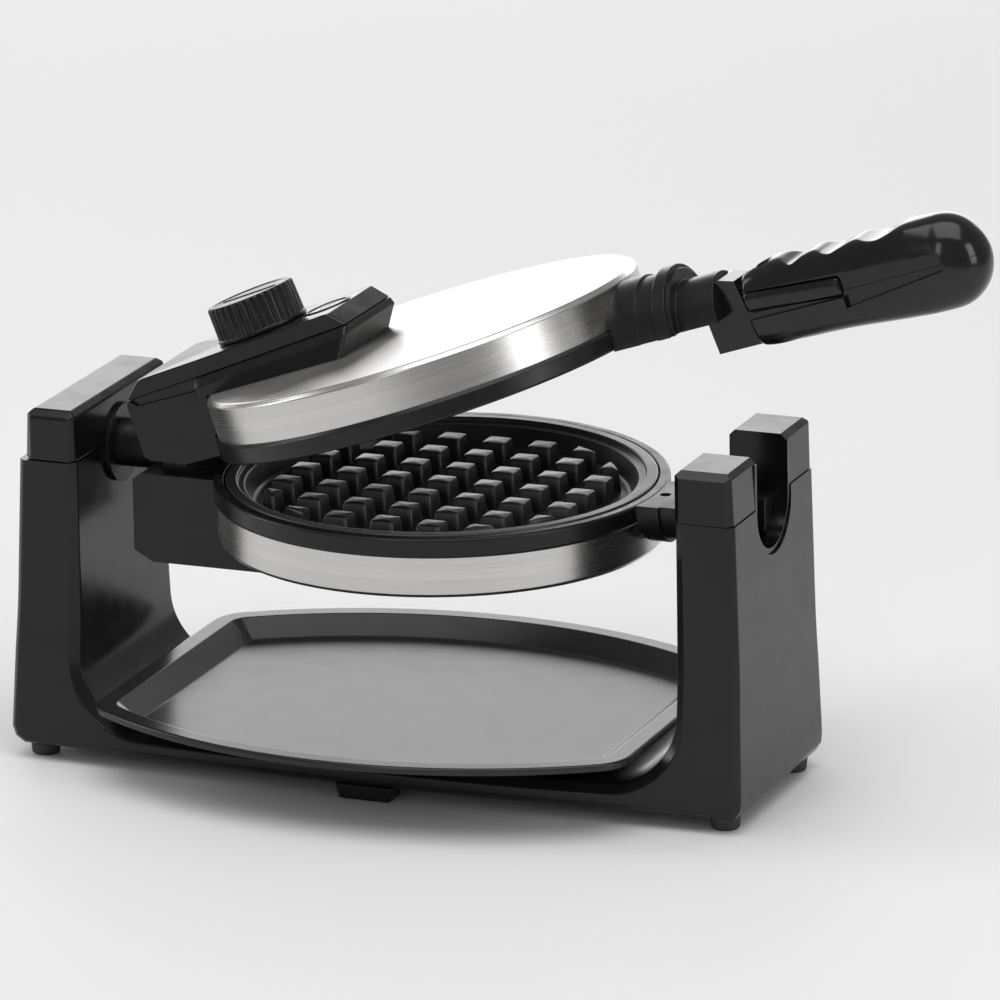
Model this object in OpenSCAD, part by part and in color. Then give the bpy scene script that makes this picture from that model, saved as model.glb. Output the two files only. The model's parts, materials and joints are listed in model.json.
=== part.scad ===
// Rotating waffle maker: a U-shaped base holds a round baking head that turns end over end.
// X runs along the base towards the handle, Y runs to the back, Z is up, all in millimetres.
// The origin is on the table at the middle of the whole outline, with the lid standing open.

/* [Base] */
// Depth of each tower, front to back
tower_depth = 103; // [86:1:124]
// Height of the towers above the table
tower_height = 163; // [157:1:180]
// How far the floor bulges past the towers, front and back
floor_bulge = 14; // [6:1:20]
// Thickness of the moulded base walls
base_wall = 2.5; // [2:0.25:3.5]
// Height of the rubber feet
foot_height = 7; // [4:0.5:8.5]

/* [Head] */
// Outside radius of the black rings of the baking head
ring_radius = 102; // [85:1:106]
// Height of the axis on which the head turns
axis_height = 136.5; // [134:0.5:141]
// Height of each black ring
ring_height = 9.5; // [8:0.5:12]
// Height of each steel band
band_height = 18.5; // [16:0.5:22]
// Thickness of the steel sheet
sheet = 1; // [0.8:0.1:1.6]
// Gap between the two halves when the lid is shut
lid_gap = 0.8; // [0.5:0.1:1.5]
// Radius of the round neck on which the head turns at the handle side
neck_radius = 19.5; // [17:0.5:21]
// Radius of the hollow shaft on which the head turns at the hinge side
shaft_radius = 11; // [9:0.5:12]
// Distance between the pockets of the baking grids
grid_pitch = 22; // [18:1:26]

/* [Lid and handle] */
// Angle at which the lid stands open
lid_open = 18.5; // [5:0.5:30]
// Diameter of the browning knob
knob_diameter = 42; // [34:1:44]
// Length of the handle from its pivot to its round end
grip_length = 104; // [90:1:120]
// Width of the handle
grip_width = 34; // [30:1:36]
// Radius of the handle pivot pin
pin_radius = 2.5; // [2:0.25:3]

/* [Tray] */
// Depth of the drip tray, front to back
tray_depth = 229; // [190:1:236]
// Height of the drip tray
tray_height = 16.3; // [13:0.1:18]

/* [Hidden] */
$fn = 180;
tiny = 0.05;
part_gap = 0.3;
half_depth = tower_depth / 2;
split_height = tower_height - 23.5;
floor_top = 18.5;
corner_radius = 32;

// Base, along X
left_inner = -156.5;
left_outer_top = -180;
left_outer_foot = -190.5;
right_inner = 129.5;
right_outer_top = 156;
right_outer_foot = 160.5;
base_bottom = foot_height;
taper_start = 12;
floor_middle = (left_outer_foot + right_outer_foot) / 2;
floor_half = (right_outer_foot - left_outer_foot) / 2;
bulge_radius = (floor_half * floor_half + floor_bulge * floor_bulge) / (2 * floor_bulge);
bulge_centre = half_depth + floor_bulge - bulge_radius;

// Bearings
bush_radius = shaft_radius + 4;
saddle_wall = 2.5;
run_gap = 0.06;
saddle_radius = neck_radius + run_gap;
saddle_outer = saddle_radius + saddle_wall;

// Head, in closed position
band_radius = ring_radius - 2;
lower_top = axis_height - lid_gap / 2;
lower_band_top = lower_top - ring_height;
lower_band_bottom = lower_band_top - band_height;
upper_bottom = axis_height + lid_gap / 2;
upper_band_bottom = upper_bottom + ring_height;
lid_top = upper_band_bottom + band_height;
plate_radius = ring_radius - 5.5;
pocket_depth = 12;
plate_sheet = 2.5;
stud_size = 13;
stud_height = 9.5;
block_left = -ring_radius - 34;
upper_block_left = -ring_radius - 32;
block_right = -ring_radius + 18;
block_half = 34;
housing_depth = 16;
housing_right = -50;

// Lid hinge
hinge_x = -ring_radius - 17;
hinge_z = axis_height + 18.5;
hinge_pin_radius = 2.5;
ear_radius = 6;
ear_clear = ear_radius + 1.5;
ear_y = 20.5;
ear_width = 9;
cavity_radius = 11.5;
boss_radius = shaft_radius + 3.5;
boss_left = hinge_x - 10.2;
boss_right = hinge_x + 5;

// Handle
pivot_x = 168;
pivot_z = axis_height - 8.5;
grip_start = 160;
grip_middle_z = axis_height - 1.5;
bulb_radius = 21;
bulb_x = pivot_x + grip_length - bulb_radius;
tongue_half = 8;
tongue_start = 137.5;
cheek_gap = 0.4;

// Control cover and knob
knob_x = -ring_radius + 28;
knob_seat = lid_top + 17.6;
cover_tilt = 3.8;
cover_tip = knob_x + 52;
cover_side = 7.6;
window_along = 34;
window_radius = 10;
knob_radius = knob_diameter / 2;
knob_height = 17;
spindle_radius = 3;

// Drip tray
tray_middle = -14.2;
tray_half = 127.5;
tray_bottom = floor_top + part_gap;
tray_top = tray_bottom + tray_height;
tray_arc = 218;
tray_wall = 1.6;
tray_lip = 9;
tray_sink = 8;
tray_slope = 10.5;
tray_corner = 141;
rib_reach = 60;

// Middle of the outline with the lid open
bulb_reach = bulb_x - hinge_x;
bulb_drop = grip_middle_z - hinge_z;
handle_end = hinge_x + bulb_reach * cos(lid_open) - bulb_drop * sin(lid_open) + bulb_radius;
origin_x = (left_outer_foot + handle_end) / 2;

// Which piece to draw

// ---------- Placing helpers ----------

// Puts base and head pieces in the shared frame
module place() {
  translate([-origin_x, 0, 0]) children();
}

// Puts a lid piece, drawn shut, in the shared frame with the lid standing open
module lid_place() {
  place()
    translate([hinge_x, 0, hinge_z])
      rotate([0, -lid_open, 0])
        translate([-hinge_x, 0, -hinge_z])
          children();
}

// Turns a flat XZ outline into a slab that runs along Y
module slab_y(width) {
  rotate([90, 0, 0])
    linear_extrude(height = width, center = true)
      children();
}

// A cylinder that lies along X
module rod_x(start, end, radius) {
  translate([start, 0, 0])
    rotate([0, 90, 0])
      cylinder(h = end - start, r = radius);
}

// A cylinder that lies along Y, centred on the middle plane
module rod_y(length, radius) {
  rotate([90, 0, 0])
    cylinder(h = length, r = radius, center = true);
}

// A rectangle with cut corners, centred
module cut_square(size_x, size_y, cut) {
  hx = size_x / 2;
  hy = size_y / 2;
  polygon([[-hx + cut, -hy], [hx - cut, -hy], [hx, -hy + cut], [hx, hy - cut],
           [hx - cut, hy], [-hx + cut, hy], [-hx, hy - cut], [-hx, -hy + cut]]);
}

// The half space above or below the axis height, as a large block
module upper_half() {
  translate([-400, -200, upper_bottom]) cube([800, 400, 200]);
}

module lower_half() {
  translate([-400, -200, lower_top - 200]) cube([800, 400, 200]);
}

// ---------- Base ----------

// Outside of the cradle seen from the front; inset moves every wall inwards
module cradle_outline(inset, top) {
  lean = (left_outer_top - left_outer_foot) / (tower_height - taper_start);
  lean_right = (right_outer_foot - right_outer_top) / (tower_height - taper_start);
  left_at_top = left_outer_foot + lean * (top - taper_start);
  right_at_top = right_outer_foot - lean_right * (top - taper_start);
  polygon([[left_outer_foot + 4 + inset, base_bottom - inset],
           [right_outer_foot - 3 - inset, base_bottom - inset],
           [right_outer_foot - inset, taper_start],
           [right_at_top - inset, top],
           [left_at_top + inset, top],
           [left_outer_foot + inset, taper_start]]);
}

// The space between the towers, with rounded lower corners; grow moves its walls outwards
module cradle_opening(grow) {
  radius = corner_radius + grow;
  left = left_inner + corner_radius;
  right = right_inner - corner_radius;
  low = floor_top + corner_radius;
  translate([left, low - radius]) square([right - left, 300]);
  translate([left - radius, low]) square([right - left + 2 * radius, 300]);
  translate([left, low]) circle(r = radius);
  translate([right, low]) circle(r = radius);
}

// Plan of the floor with its bulging front and back edges
module floor_plan(inset) {
  intersection() {
    translate([floor_middle, bulge_centre]) circle(r = bulge_radius - inset, $fn = 360);
    translate([floor_middle, -bulge_centre]) circle(r = bulge_radius - inset, $fn = 360);
    translate([floor_middle, 0]) square([2 * floor_half - 10, 300], center = true);
  }
}

module base_shell() {
  color("#1b1b1c") place() difference() {
    union() {
      intersection() {
        slab_y(tower_depth) difference() {
          cradle_outline(0, split_height);
          cradle_opening(0);
        }
        translate([floor_middle, 0, 0])
          linear_extrude(height = tower_height)
            cut_square(2 * floor_half, tower_depth, 4);
      }
      translate([0, 0, base_bottom])
        linear_extrude(height = floor_top - base_bottom - 3)
          floor_plan(0);
      translate([0, 0, base_bottom])
        linear_extrude(height = floor_top - base_bottom)
          floor_plan(3);
    }
    slab_y(tower_depth - 2 * base_wall) difference() {
      cradle_outline(base_wall, split_height + 1);
      cradle_opening(base_wall);
    }
    translate([0, 0, base_bottom - 1])
      linear_extrude(height = floor_top - base_bottom - base_wall + 1)
        floor_plan(3 + base_wall);
    translate([0, 0, axis_height]) {
      rod_x(left_inner - base_wall - 1, left_inner + 1, bush_radius + tiny);
      rod_x(right_inner - 1, right_outer_foot + 1, saddle_outer + tiny);
      translate([right_inner - 1, -saddle_outer - tiny, 0])
        cube([40, 2 * saddle_outer + 2 * tiny, 40]);
    }
    translate([left_outer_foot - 1, 0, 34])
      rotate([0, 90, 0])
        cylinder(h = 9, r = 8 + tiny);
  }
}

// A hollow cap with cut edges; x0 and x1 are its sides and y0 and y1 its front and back
module cap_block(x0, x1, y0, y1, lean_x) {
  intersection() {
    translate([0, (y0 + y1) / 2, 0])
      slab_y(y1 - y0)
        polygon([[x0 - lean_x * 0.16, split_height + part_gap],
                 [x1 + (lean_x == 0 ? 0.7 : 0), split_height + part_gap],
                 [x1, tower_height - 2.5], [x1 - 2.5, tower_height],
                 [x0 + 2.5, tower_height], [x0, tower_height - 2.5]]);
    translate([(x0 + x1) / 2, (y0 + y1) / 2, split_height])
      linear_extrude(height = 40)
        cut_square(x1 - x0 + 4, y1 - y0, 4.5);
    translate([x0 - 5, 0, 0])
      rotate([90, 0, 90])
        linear_extrude(height = x1 - x0 + 10)
          polygon([[y0, split_height], [y1, split_height], [y1, tower_height - 3],
                   [y1 - 4, tower_height], [y0 + 4, tower_height], [y0, tower_height - 3]]);
  }
}

// Inside of a cap, open downwards
module cap_hollow(x0, x1, y0, y1) {
  translate([x0 + base_wall, y0 + base_wall, split_height - 1])
    cube([x1 - x0 - 2 * base_wall, y1 - y0 - 2 * base_wall, tower_height - split_height - base_wall]);
}

module left_tower_cap() {
  color("#1b1b1c") place() difference() {
    cap_block(left_outer_top, left_inner, -half_depth, half_depth, 10);
    cap_hollow(left_outer_top, left_inner, -half_depth, half_depth);
    translate([0, 0, axis_height])
      rod_x(left_inner - base_wall - 1, left_inner + 3, bush_radius + tiny);
  }
}

// Both prong caps and the saddle that carries the neck are one moulding
module right_tower_cap() {
  color("#242426") place() {
    difference() {
      union() {
        difference() {
          cap_block(right_inner, right_outer_top, -half_depth, half_depth, 0);
          cap_hollow(right_inner, right_outer_top, -half_depth, half_depth);
        }
        intersection() {
          union() {
            translate([0, 0, axis_height])
              rod_x(right_inner, right_outer_top + 0.8, saddle_outer);
            translate([right_inner, -saddle_outer, axis_height])
              cube([right_outer_top + 0.7 - right_inner, 2 * saddle_outer,
                    tower_height - 3 - axis_height]);
          }
          translate([-200, -200, 0]) cube([400, 400, tower_height]);
        }
      }
      translate([0, 0, axis_height])
        rod_x(right_inner - 1, right_outer_foot + 1, saddle_radius);
      translate([right_inner - 1, -saddle_radius, axis_height])
        cube([40, 2 * saddle_radius, 40]);
    }
  }
}

// Flanged bush in the wall of the left tower
module bearing_bush() {
  color("#202021") place() translate([0, 0, axis_height]) difference() {
    union() {
      rod_x(left_inner - base_wall - 2, left_inner + 2, bush_radius);
      rod_x(left_inner + tiny, left_inner + 2, bush_radius + 3);
      rod_x(left_inner - base_wall - 2, left_inner - base_wall - tiny, bush_radius + 2);
    }
    rod_x(left_inner - 20, left_inner + 20, shaft_radius + run_gap);
  }
}

// Plate that closes the underside of the base
module base_cover() {
  color("#161616") place() difference() {
    translate([0, 0, base_bottom])
      linear_extrude(height = 2)
        intersection() {
          floor_plan(3 + base_wall + part_gap);
          translate([floor_middle, 0]) square([2 * floor_half - 30, 300], center = true);
        }
    for (x = [-150, -60, 30, 120], y = [-40, 40])
      translate([x, y, 0]) cylinder(h = 20, r = 1.7);
    for (x = [-130:20:-30])
      translate([x, -6, 0]) cube([4, 12, 20]);
  }
}

module rubber_feet() {
  color("#2b2b2b") place()
    for (x = [left_outer_foot + 12, right_outer_foot - 11], y = [-half_depth + 8.5, half_depth - 8.5])
      translate([x, y, 0]) {
        cylinder(h = base_bottom - tiny, r1 = 6.2, r2 = 7);
      }
}

// Block under the middle of the front edge that stops the base from rocking
module front_foot() {
  color("#1f1f1f") place()
    translate([floor_middle, -half_depth - floor_bulge + 10, 0])
      rotate([90, 0, 0])
        linear_extrude(height = 12, center = true)
          polygon([[-12, 0], [12, 0], [14, base_bottom - tiny], [-14, base_bottom - tiny]]);
}

// Screws up through the bottom cover
module base_screws() {
  color("#8d8f92") place()
    for (x = [-150, -60, 30, 120], y = [-40, 40])
      translate([x, y, base_bottom - 1.6]) {
        cylinder(h = 1.55, r = 3);
        translate([0, 0, 1.5]) cylinder(h = floor_top - base_bottom - base_wall, r = 1.6);
      }
}

// Gland where the supply cord would enter
module cord_inlet() {
  color("#1a1a1a") place()
    translate([left_outer_foot - 1, 0, 34])
      rotate([0, 90, 0]) {
        difference() {
          union() {
            cylinder(h = 8, r = 8);
            translate([0, 0, 6.2]) cylinder(h = 1.8, r = 10);
          }
          translate([0, 0, -1]) cylinder(h = 12, r = 3.6);
        }
      }
}

// Wiring block inside the left tower
module terminal_block() {
  color("#e8e2d2") place()
    translate([-177, -14, 60])
      difference() {
        cube([10, 28, 34]);
        for (y = [7, 21], z = [9, 25])
          translate([-1, y, z]) rotate([0, 90, 0]) cylinder(h = 12, r = 2.6);
      }
}

// Outline of the tray between two heights; the walls are moved inwards by in_low and in_high
module tray_walls(low, high, in_low, in_high) {
  side = tray_depth / 2;
  translate([tray_middle, 0, 0]) intersection() {
    translate([0, side - tray_arc, low])
      cylinder(h = high - low, r1 = tray_arc - in_low, r2 = tray_arc - in_high, $fn = 360);
    translate([0, tray_arc - side, low])
      cylinder(h = high - low, r1 = tray_arc - in_low, r2 = tray_arc - in_high, $fn = 360);
    slab_y(400)
      polygon([[-tray_half + in_low, low], [tray_half - in_low, low],
               [tray_half - in_high, high], [-tray_half + in_high, high]]);
    for (turn = [46, -46])
      rotate([0, 0, turn]) slab_y(400)
        polygon([[-tray_corner + in_low, low], [tray_corner - in_low, low],
                 [tray_corner - in_high, high], [-tray_corner + in_high, high]]);
  }
}

// Shallow tray with a flat lip, on two ribs that slide over the floor of the base
module drip_tray() {
  floor_level = tray_top - tray_sink;
  sunk = tray_lip + tray_slope;
  color("#3a3a3c") place() {
    difference() {
      union() {
        tray_walls(tray_top - 2.4, tray_top, 0, 0);
        tray_walls(floor_level - tray_wall, tray_top - 1, sunk - 3, tray_lip - 4);
      }
      tray_walls(floor_level, tray_top + 0.5, sunk, tray_lip - 0.6);
    }
    for (x = [-70, 70])
      translate([tray_middle + x - 2, -rib_reach, tray_bottom])
        cube([4, 2 * rib_reach, floor_level - tray_bottom - tray_wall + 0.4]);
  }
}

// ---------- Baking head, lower half ----------

// Profile of one grid plate as a dish with a rim, drawn mouth up with its mouth at height 0
module plate_dish() {
  rotate_extrude()
    polygon([[0, -pocket_depth - plate_sheet], [plate_radius - 9, -pocket_depth - plate_sheet],
             [plate_radius - 4, -4], [plate_radius, -4], [plate_radius, 0],
             [plate_radius - 5, 0], [plate_radius - 5.5, -2], [plate_radius - 8.5, -2.5],
             [plate_radius - 12, -pocket_depth], [0, -pocket_depth]]);
}

// One row of studs; the studs stay inside the round pocket
module plate_studs() {
  reach = plate_radius - 16;
  intersection() {
    translate([0, 0, -pocket_depth - 1]) cylinder(h = stud_height + 1, r = reach);
    union() {
      for (i = [-4:4], j = [-4:4])
        if (norm([i * grid_pitch, j * grid_pitch]) < reach + stud_size / 3)
          translate([i * grid_pitch - stud_size / 2, j * grid_pitch - stud_size / 2,
                     -pocket_depth - 1])
            cube([stud_size, stud_size, stud_height + 1]);
    }
  }
}

module grid_plate() {
  plate_dish();
  plate_studs();
}

// A tubular heating element bent to a ring with two tails towards the hinge
module element_ring(height) {
  ring = plate_radius - 32;
  translate([0, 0, height]) {
    rotate([0, 0, 10]) rotate_extrude(angle = 340) translate([ring, 0]) circle(r = 3.2);
    for (side = [-1, 1])
      rotate([0, 0, 10 * side]) translate([ring - 20, 0, 0])
        rotate([0, 90, 0]) cylinder(h = 20, r = 3.2);
  }
}

// Shallow pan that reflects heat to the plate, mouth up, with its mouth at the given height
module reflector_pan(height) {
  radius = plate_radius - 14;
  translate([0, 0, height]) difference() {
    translate([0, 0, -9]) cylinder(h = 9, r = radius);
    translate([0, 0, -8.4]) cylinder(h = 10, r = radius - 0.6);
    translate([0, 0, -12]) cylinder(h = 10, r = 8);
  }
}

// Mirrors a piece of the lower half to make the matching piece of the upper half
module mirrored() {
  translate([0, 0, 2 * axis_height]) mirror([0, 0, 1]) children();
}

// Steel dish: band with a rounded lower edge and a flat bottom
module steel_dish() {
  round = 5;
  rotate_extrude() difference() {
    union() {
      translate([0, lower_band_bottom]) square([band_radius - round, round]);
      translate([0, lower_band_bottom + round]) square([band_radius, band_height - round]);
      translate([band_radius - round, lower_band_bottom + round]) circle(r = round);
    }
    translate([-20, lower_band_bottom - 20]) square([20, 100]);
    translate([-1, lower_band_bottom + round])
      square([band_radius - sheet + 1, band_height]);
    translate([-1, lower_band_bottom + sheet])
      square([band_radius - round + 1, round]);
    translate([band_radius - round, lower_band_bottom + round]) circle(r = round - sheet);
  }
}

module lower_shell() {
  color("#b9bcbf") place() difference() {
    steel_dish();
    translate([0, 0, lower_band_bottom - 1]) cylinder(h = 4, r = 5);
  }
}

// Ring profile: a flat outer face with a small step near the mouth
module ring_body() {
  rotate_extrude()
    polygon([[ring_radius - 4.8, lower_top - 0.4], [ring_radius - 4.8, lower_top - 4.4],
             [band_radius - 6.5, lower_top - 4.4], [band_radius - 6.5, lower_band_top + tiny],
             [ring_radius - 0.6, lower_band_top + tiny], [ring_radius, lower_band_top + 1.2],
             [ring_radius, lower_top - 1.4], [ring_radius - 0.8, lower_top - 0.4]]);
}

module lower_ring() {
  color("#19191a") place() ring_body();
}

module lower_grid_plate() {
  color("#2a2b2d") place() translate([0, 0, lower_top]) grid_plate();
}

module lower_element() {
  color("#6d6a66") place() element_ring(lower_top - pocket_depth - plate_sheet - 3.2 - tiny);
}

module lower_reflector() {
  color("#c9cbcc") place() reflector_pan(lower_band_bottom + sheet + 9 + tiny);
}

module lower_thermal_fuse() {
  color("#d8d2c2") place()
    translate([24, 0, lower_band_bottom + sheet + 1 + tiny]) {
      translate([0, 0, 2.5]) rotate([0, 90, 0]) cylinder(h = 12, r = 1.9);
      translate([-3, 0, 2.5]) rotate([0, 90, 0]) cylinder(h = 18, r = 0.5);
    }
}

// Three pins that hold the plate to the shell
module plate_screws() {
  for (turn = [60, 180, 300])
    rotate([0, 0, turn])
      translate([plate_radius - 20, 0, lower_band_bottom + sheet + 1])
        cylinder(h = lower_top - pocket_depth - plate_sheet - lower_band_bottom - sheet - 1 - tiny,
                 r = 2.2);
}

module lower_plate_screws() {
  color("#9a9c9e") place() plate_screws();
}

// Everything outside the round head, so that blocks meet its wall
module outside_head(gap, bottom, top) {
  difference() {
    children();
    translate([0, 0, bottom]) cylinder(h = top - bottom, r = ring_radius + gap);
  }
}

// Everything outside the steel band and above its bottom
module outside_steel() {
  difference() {
    children();
    translate([0, 0, lower_band_bottom - 0.1])
      cylinder(h = band_height + 1, r = band_radius + tiny);
  }
}

// Plan of the lower block: full width at the hinge, with cut corners under the shell
module block_plan() {
  polygon([[block_left - 1, -block_half], [housing_right - 10, -block_half],
           [housing_right, -block_half + 9], [housing_right, block_half - 9],
           [housing_right - 10, block_half], [block_left - 1, block_half]]);
}

// Black block under the lid hinge that reaches under the shell as a wiring housing, with a boss
// for the shaft and two ears for the lid
module lower_hinge_block() {
  top = lower_top - 3.1;
  under = lower_band_bottom - housing_depth;
  color("#151516") place() difference() {
    union() {
      outside_head(tiny, lower_band_top - 0.5, lower_top + 60)
        outside_steel()
          intersection() {
            slab_y(2 * block_half + 1)
              polygon([[block_left, under + 5], [block_left + 9, under],
                       [housing_right - 7, under], [housing_right, under + 4],
                       [housing_right, lower_band_bottom - 0.1],
                       [block_right, lower_band_bottom], [block_right, top],
                       [block_left + 4, top], [block_left, top - 3]]);
            linear_extrude(height = 300) block_plan();
          }
      translate([0, 0, axis_height]) rod_x(boss_left, boss_right, boss_radius);
      for (side = [-1, 1])
        translate([0, side * ear_y, 0])
          slab_y(ear_width)
            union() {
              translate([hinge_x, hinge_z]) circle(r = ear_radius);
              translate([hinge_x - ear_radius, top - 6])
                square([2 * ear_radius, hinge_z - top + 6]);
            }
    }
    translate([hinge_x, 0, hinge_z]) rod_y(100, hinge_pin_radius + tiny);
    translate([0, 0, axis_height])
      rod_x(block_left - 1, boss_right - 4, shaft_radius + tiny);
  }
}

// Half of the neck on which the head turns, with a step ring next to the head
module half_neck(end) {
  translate([0, 0, axis_height]) {
    rod_x(ring_radius - 6, end, neck_radius);
    rod_x(ring_radius - 6, ring_radius + 9, neck_radius + 1.6);
  }
}

module lower_neck() {
  color("#151516") place() difference() {
    intersection() {
      half_neck(150);
      lower_half();
    }
    translate([0, 0, lower_band_bottom - 20])
      cylinder(h = 60, r = ring_radius + tiny);
    translate([tongue_start - 1, -tongue_half - 0.6, axis_height - 17])
      cube([40, 2 * tongue_half + 1.2, 40]);
    translate([ring_radius + 4.5, 0, axis_height - 5]) cylinder(h = 10, r = 2.3);
  }
}

module neck_screw() {
  color("#77797c") place() translate([ring_radius + 4.5, 0, axis_height - 5 + tiny]) cylinder(h = 3, r = 2.2);
}

module lid_hinge_pin() {
  color("#9a9c9e") place() translate([hinge_x, 0, hinge_z]) rod_y(60, hinge_pin_radius);
}

// Hollow shaft with its wires' passage, carried by the bush
module pivot_shaft() {
  color("#2c2c2e") place() translate([0, 0, axis_height]) difference() {
    rod_x(left_inner - 14, boss_right - 4 - tiny, shaft_radius);
    rod_x(left_inner - 20, boss_right, shaft_radius - 3.5);
  }
}

// Collar inside the tower that keeps the shaft from pulling out
module shaft_collar() {
  color("#77797c") place() translate([0, 0, axis_height]) difference() {
    union() {
      rod_x(left_inner - 11, left_inner - 6, shaft_radius + 5);
      translate([left_inner - 11, -3, 0]) cube([5, 6, shaft_radius + 8]);
    }
    rod_x(left_inner - 20, left_inner, shaft_radius + tiny);
  }
}

// ---------- Lid ----------

module lid_shell() {
  color("#c6c8ca") lid_place() difference() {
    mirrored() steel_dish();
    translate([knob_x, 0, lid_top - 4]) cylinder(h = 10, r = 12);
  }
}

module lid_ring() {
  color("#19191a") lid_place() mirrored() ring_body();
}

module upper_grid_plate() {
  color("#2a2b2d") lid_place() mirrored() translate([0, 0, lower_top]) grid_plate();
}

module upper_element() {
  color("#6d6a66") lid_place() mirrored()
    element_ring(lower_top - pocket_depth - plate_sheet - 3.2 - tiny);
}

module upper_reflector() {
  color("#c9cbcc") lid_place() mirrored() reflector_pan(lower_band_bottom + sheet + 9 + tiny);
}

module upper_plate_screws() {
  color("#9a9c9e") lid_place() mirrored() plate_screws();
}

// Black block above the hinge; the lower ears, the boss and the pin run inside it
module upper_hinge_block() {
  left = upper_block_left;
  bottom = upper_bottom;
  roof = lid_top + 1.5;
  ledge = lid_top + 2.9;
  color("#151516") lid_place() difference() {
    slab_y(2 * block_half)
      polygon([[left, bottom + 8], [left + 3, bottom + 5.5], [hinge_x + 4, bottom],
               [block_right, bottom], [block_right, lid_top], [block_right - 12, lid_top],
               [block_right - 12, ledge], [left + 4.7, ledge], [left + 1, lid_top + 6],
               [left, lid_top + 4]]);
    mirrored() {
      translate([0, 0, lower_band_top - 0.5]) cylinder(h = 20, r = ring_radius + tiny);
      translate([0, 0, lower_band_bottom - 20])
        cylinder(h = band_height + 22, r = band_radius + tiny);
    }
    slab_y(2 * ear_y + ear_width + 2)
      union() {
        translate([hinge_x, hinge_z]) circle(r = cavity_radius);
        translate([left - 2, bottom - 10])
          square([hinge_x + ear_clear - left + 2, hinge_z - bottom + 10]);
        translate([left - 2, bottom])
          square([hinge_x - left + 2, roof - bottom]);
      }
    translate([hinge_x, 0, hinge_z]) rod_y(60 + 2 * tiny, hinge_pin_radius + run_gap);
  }
}

// The cover's top slopes up towards its tip; height of that slope at one place along it
function cover_roof(x) = knob_seat + (x - knob_x) * tan(cover_tilt);

// Frame on the sloping top of the cover, with its origin under the knob
module cover_place() {
  lid_place() translate([knob_x, 0, knob_seat]) rotate([0, -cover_tilt, 0]) children();
}

// Plan of the control cover: as wide as the hinge block, narrowing a little to a square tip
module cover_plan(grow) {
  wide = -ring_radius + 6;
  polygon([[upper_block_left, -block_half + 1 - grow], [wide, -block_half + 1 - grow],
           [cover_tip, -25.5 - grow], [cover_tip, 25.5 + grow],
           [wide, block_half - 1 + grow], [upper_block_left, block_half - 1 + grow]]);
}

// Space for the thermostat and the lamps inside the cover and its tier
module cover_cavity(start) {
  translate([0, 0, lid_top - 1])
    linear_extrude(height = 15)
      polygon([[start, -24], [cover_tip - 8, -20], [cover_tip - 8, 20], [start, 24]]);
}

module control_cover() {
  left = upper_block_left;
  tier = -ring_radius + 7;
  low = cover_roof(0) - cover_side + tiny;
  color("#121213") difference() {
    lid_place() difference() {
      intersection() {
        translate([0, 0, lid_top + 3]) linear_extrude(height = 30) cover_plan(0);
        slab_y(200)
          polygon([[left + 1, lid_top + 6.4], [left + 5, lid_top + 3], [tier - tiny, lid_top + 3],
                   [tier - tiny, low + tier * tan(cover_tilt)],
                   [cover_tip + 1, low + (cover_tip + 1) * tan(cover_tilt)],
                   [cover_tip + 1, cover_roof(cover_tip) - 7], [cover_tip - 6.5, cover_roof(cover_tip - 6.5)],
                   [left + 8, cover_roof(left + 8)], [left, cover_roof(left) - 7]]);
      }
      cover_cavity(-ring_radius - 2);
    }
    cover_place() {
      translate([0, 0, -20]) cylinder(h = 40, r = spindle_radius + 0.4);
      translate([window_along, 0, -1.2]) cylinder(h = 5, r = window_radius + 0.1);
      for (side = [-1, 1])
        translate([window_along, 6 * side, -9]) cylinder(h = 12, r = 2.2 + tiny);
    }
  }
}

// Tier on which the control cover stands, with a narrower step on top
module cover_flange() {
  tier = -ring_radius + 7;
  color("#1c1c1d") lid_place() difference() {
    for (step = [[4, 3.4], [1, 0]])
      intersection() {
        translate([0, 0, lid_top + tiny]) linear_extrude(height = 30) cover_plan(step[0]);
        slab_y(200)
          polygon([[tier, lid_top], [cover_tip + 6, lid_top],
                   [cover_tip + 6, cover_roof(cover_tip + 6) - cover_side - step[1] - tiny],
                   [tier, cover_roof(tier) - cover_side - step[1] - tiny]]);
      }
    cover_cavity(-ring_radius + 12);
  }
}

module thermostat() {
  color("#d9d5cb") cover_place() translate([0, 0, -16.3]) difference() {
    union() {
      translate([-14, -11, 0]) cube([28, 22, 6]);
      cylinder(h = 9, r = 6);
    }
    translate([0, 0, 3]) cylinder(h = 10, r = spindle_radius + run_gap);
  }
}

module indicator_lamps() {
  color("#7fbf6a") cover_place()
    for (side = [-1, 1])
      translate([window_along, 6 * side, -5]) cylinder(h = 3.7, r = 2.2);
}

// Clear round window over the lamps
module lamp_window() {
  color([0.75, 0.78, 0.8, 0.5]) cover_place()
    translate([window_along, 0, -1.2 + tiny]) cylinder(h = 1.2, r = window_radius);
}

// Collar, ring and upper half of the neck
module upper_neck() {
  color("#151516") lid_place() difference() {
    intersection() {
      translate([0, 0, axis_height]) {
        rod_x(ring_radius - 8, ring_radius + 10, 26);
        rod_x(ring_radius + 9, ring_radius + 18.5, 25);
        rod_x(ring_radius + 18, ring_radius + 22, 26);
        rod_x(ring_radius + 19, ring_radius + 25, 27.2);
        rod_x(ring_radius + 24, ring_radius + 26.5, 25);
        rod_x(ring_radius + 26, 147, neck_radius);
      }
      upper_half();
    }
    mirrored() {
      translate([0, 0, lower_band_top]) cylinder(h = 40, r = ring_radius + tiny);
      translate([0, 0, lower_band_bottom - 20])
        cylinder(h = band_height + 22, r = band_radius + tiny);
    }
  }
}

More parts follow.
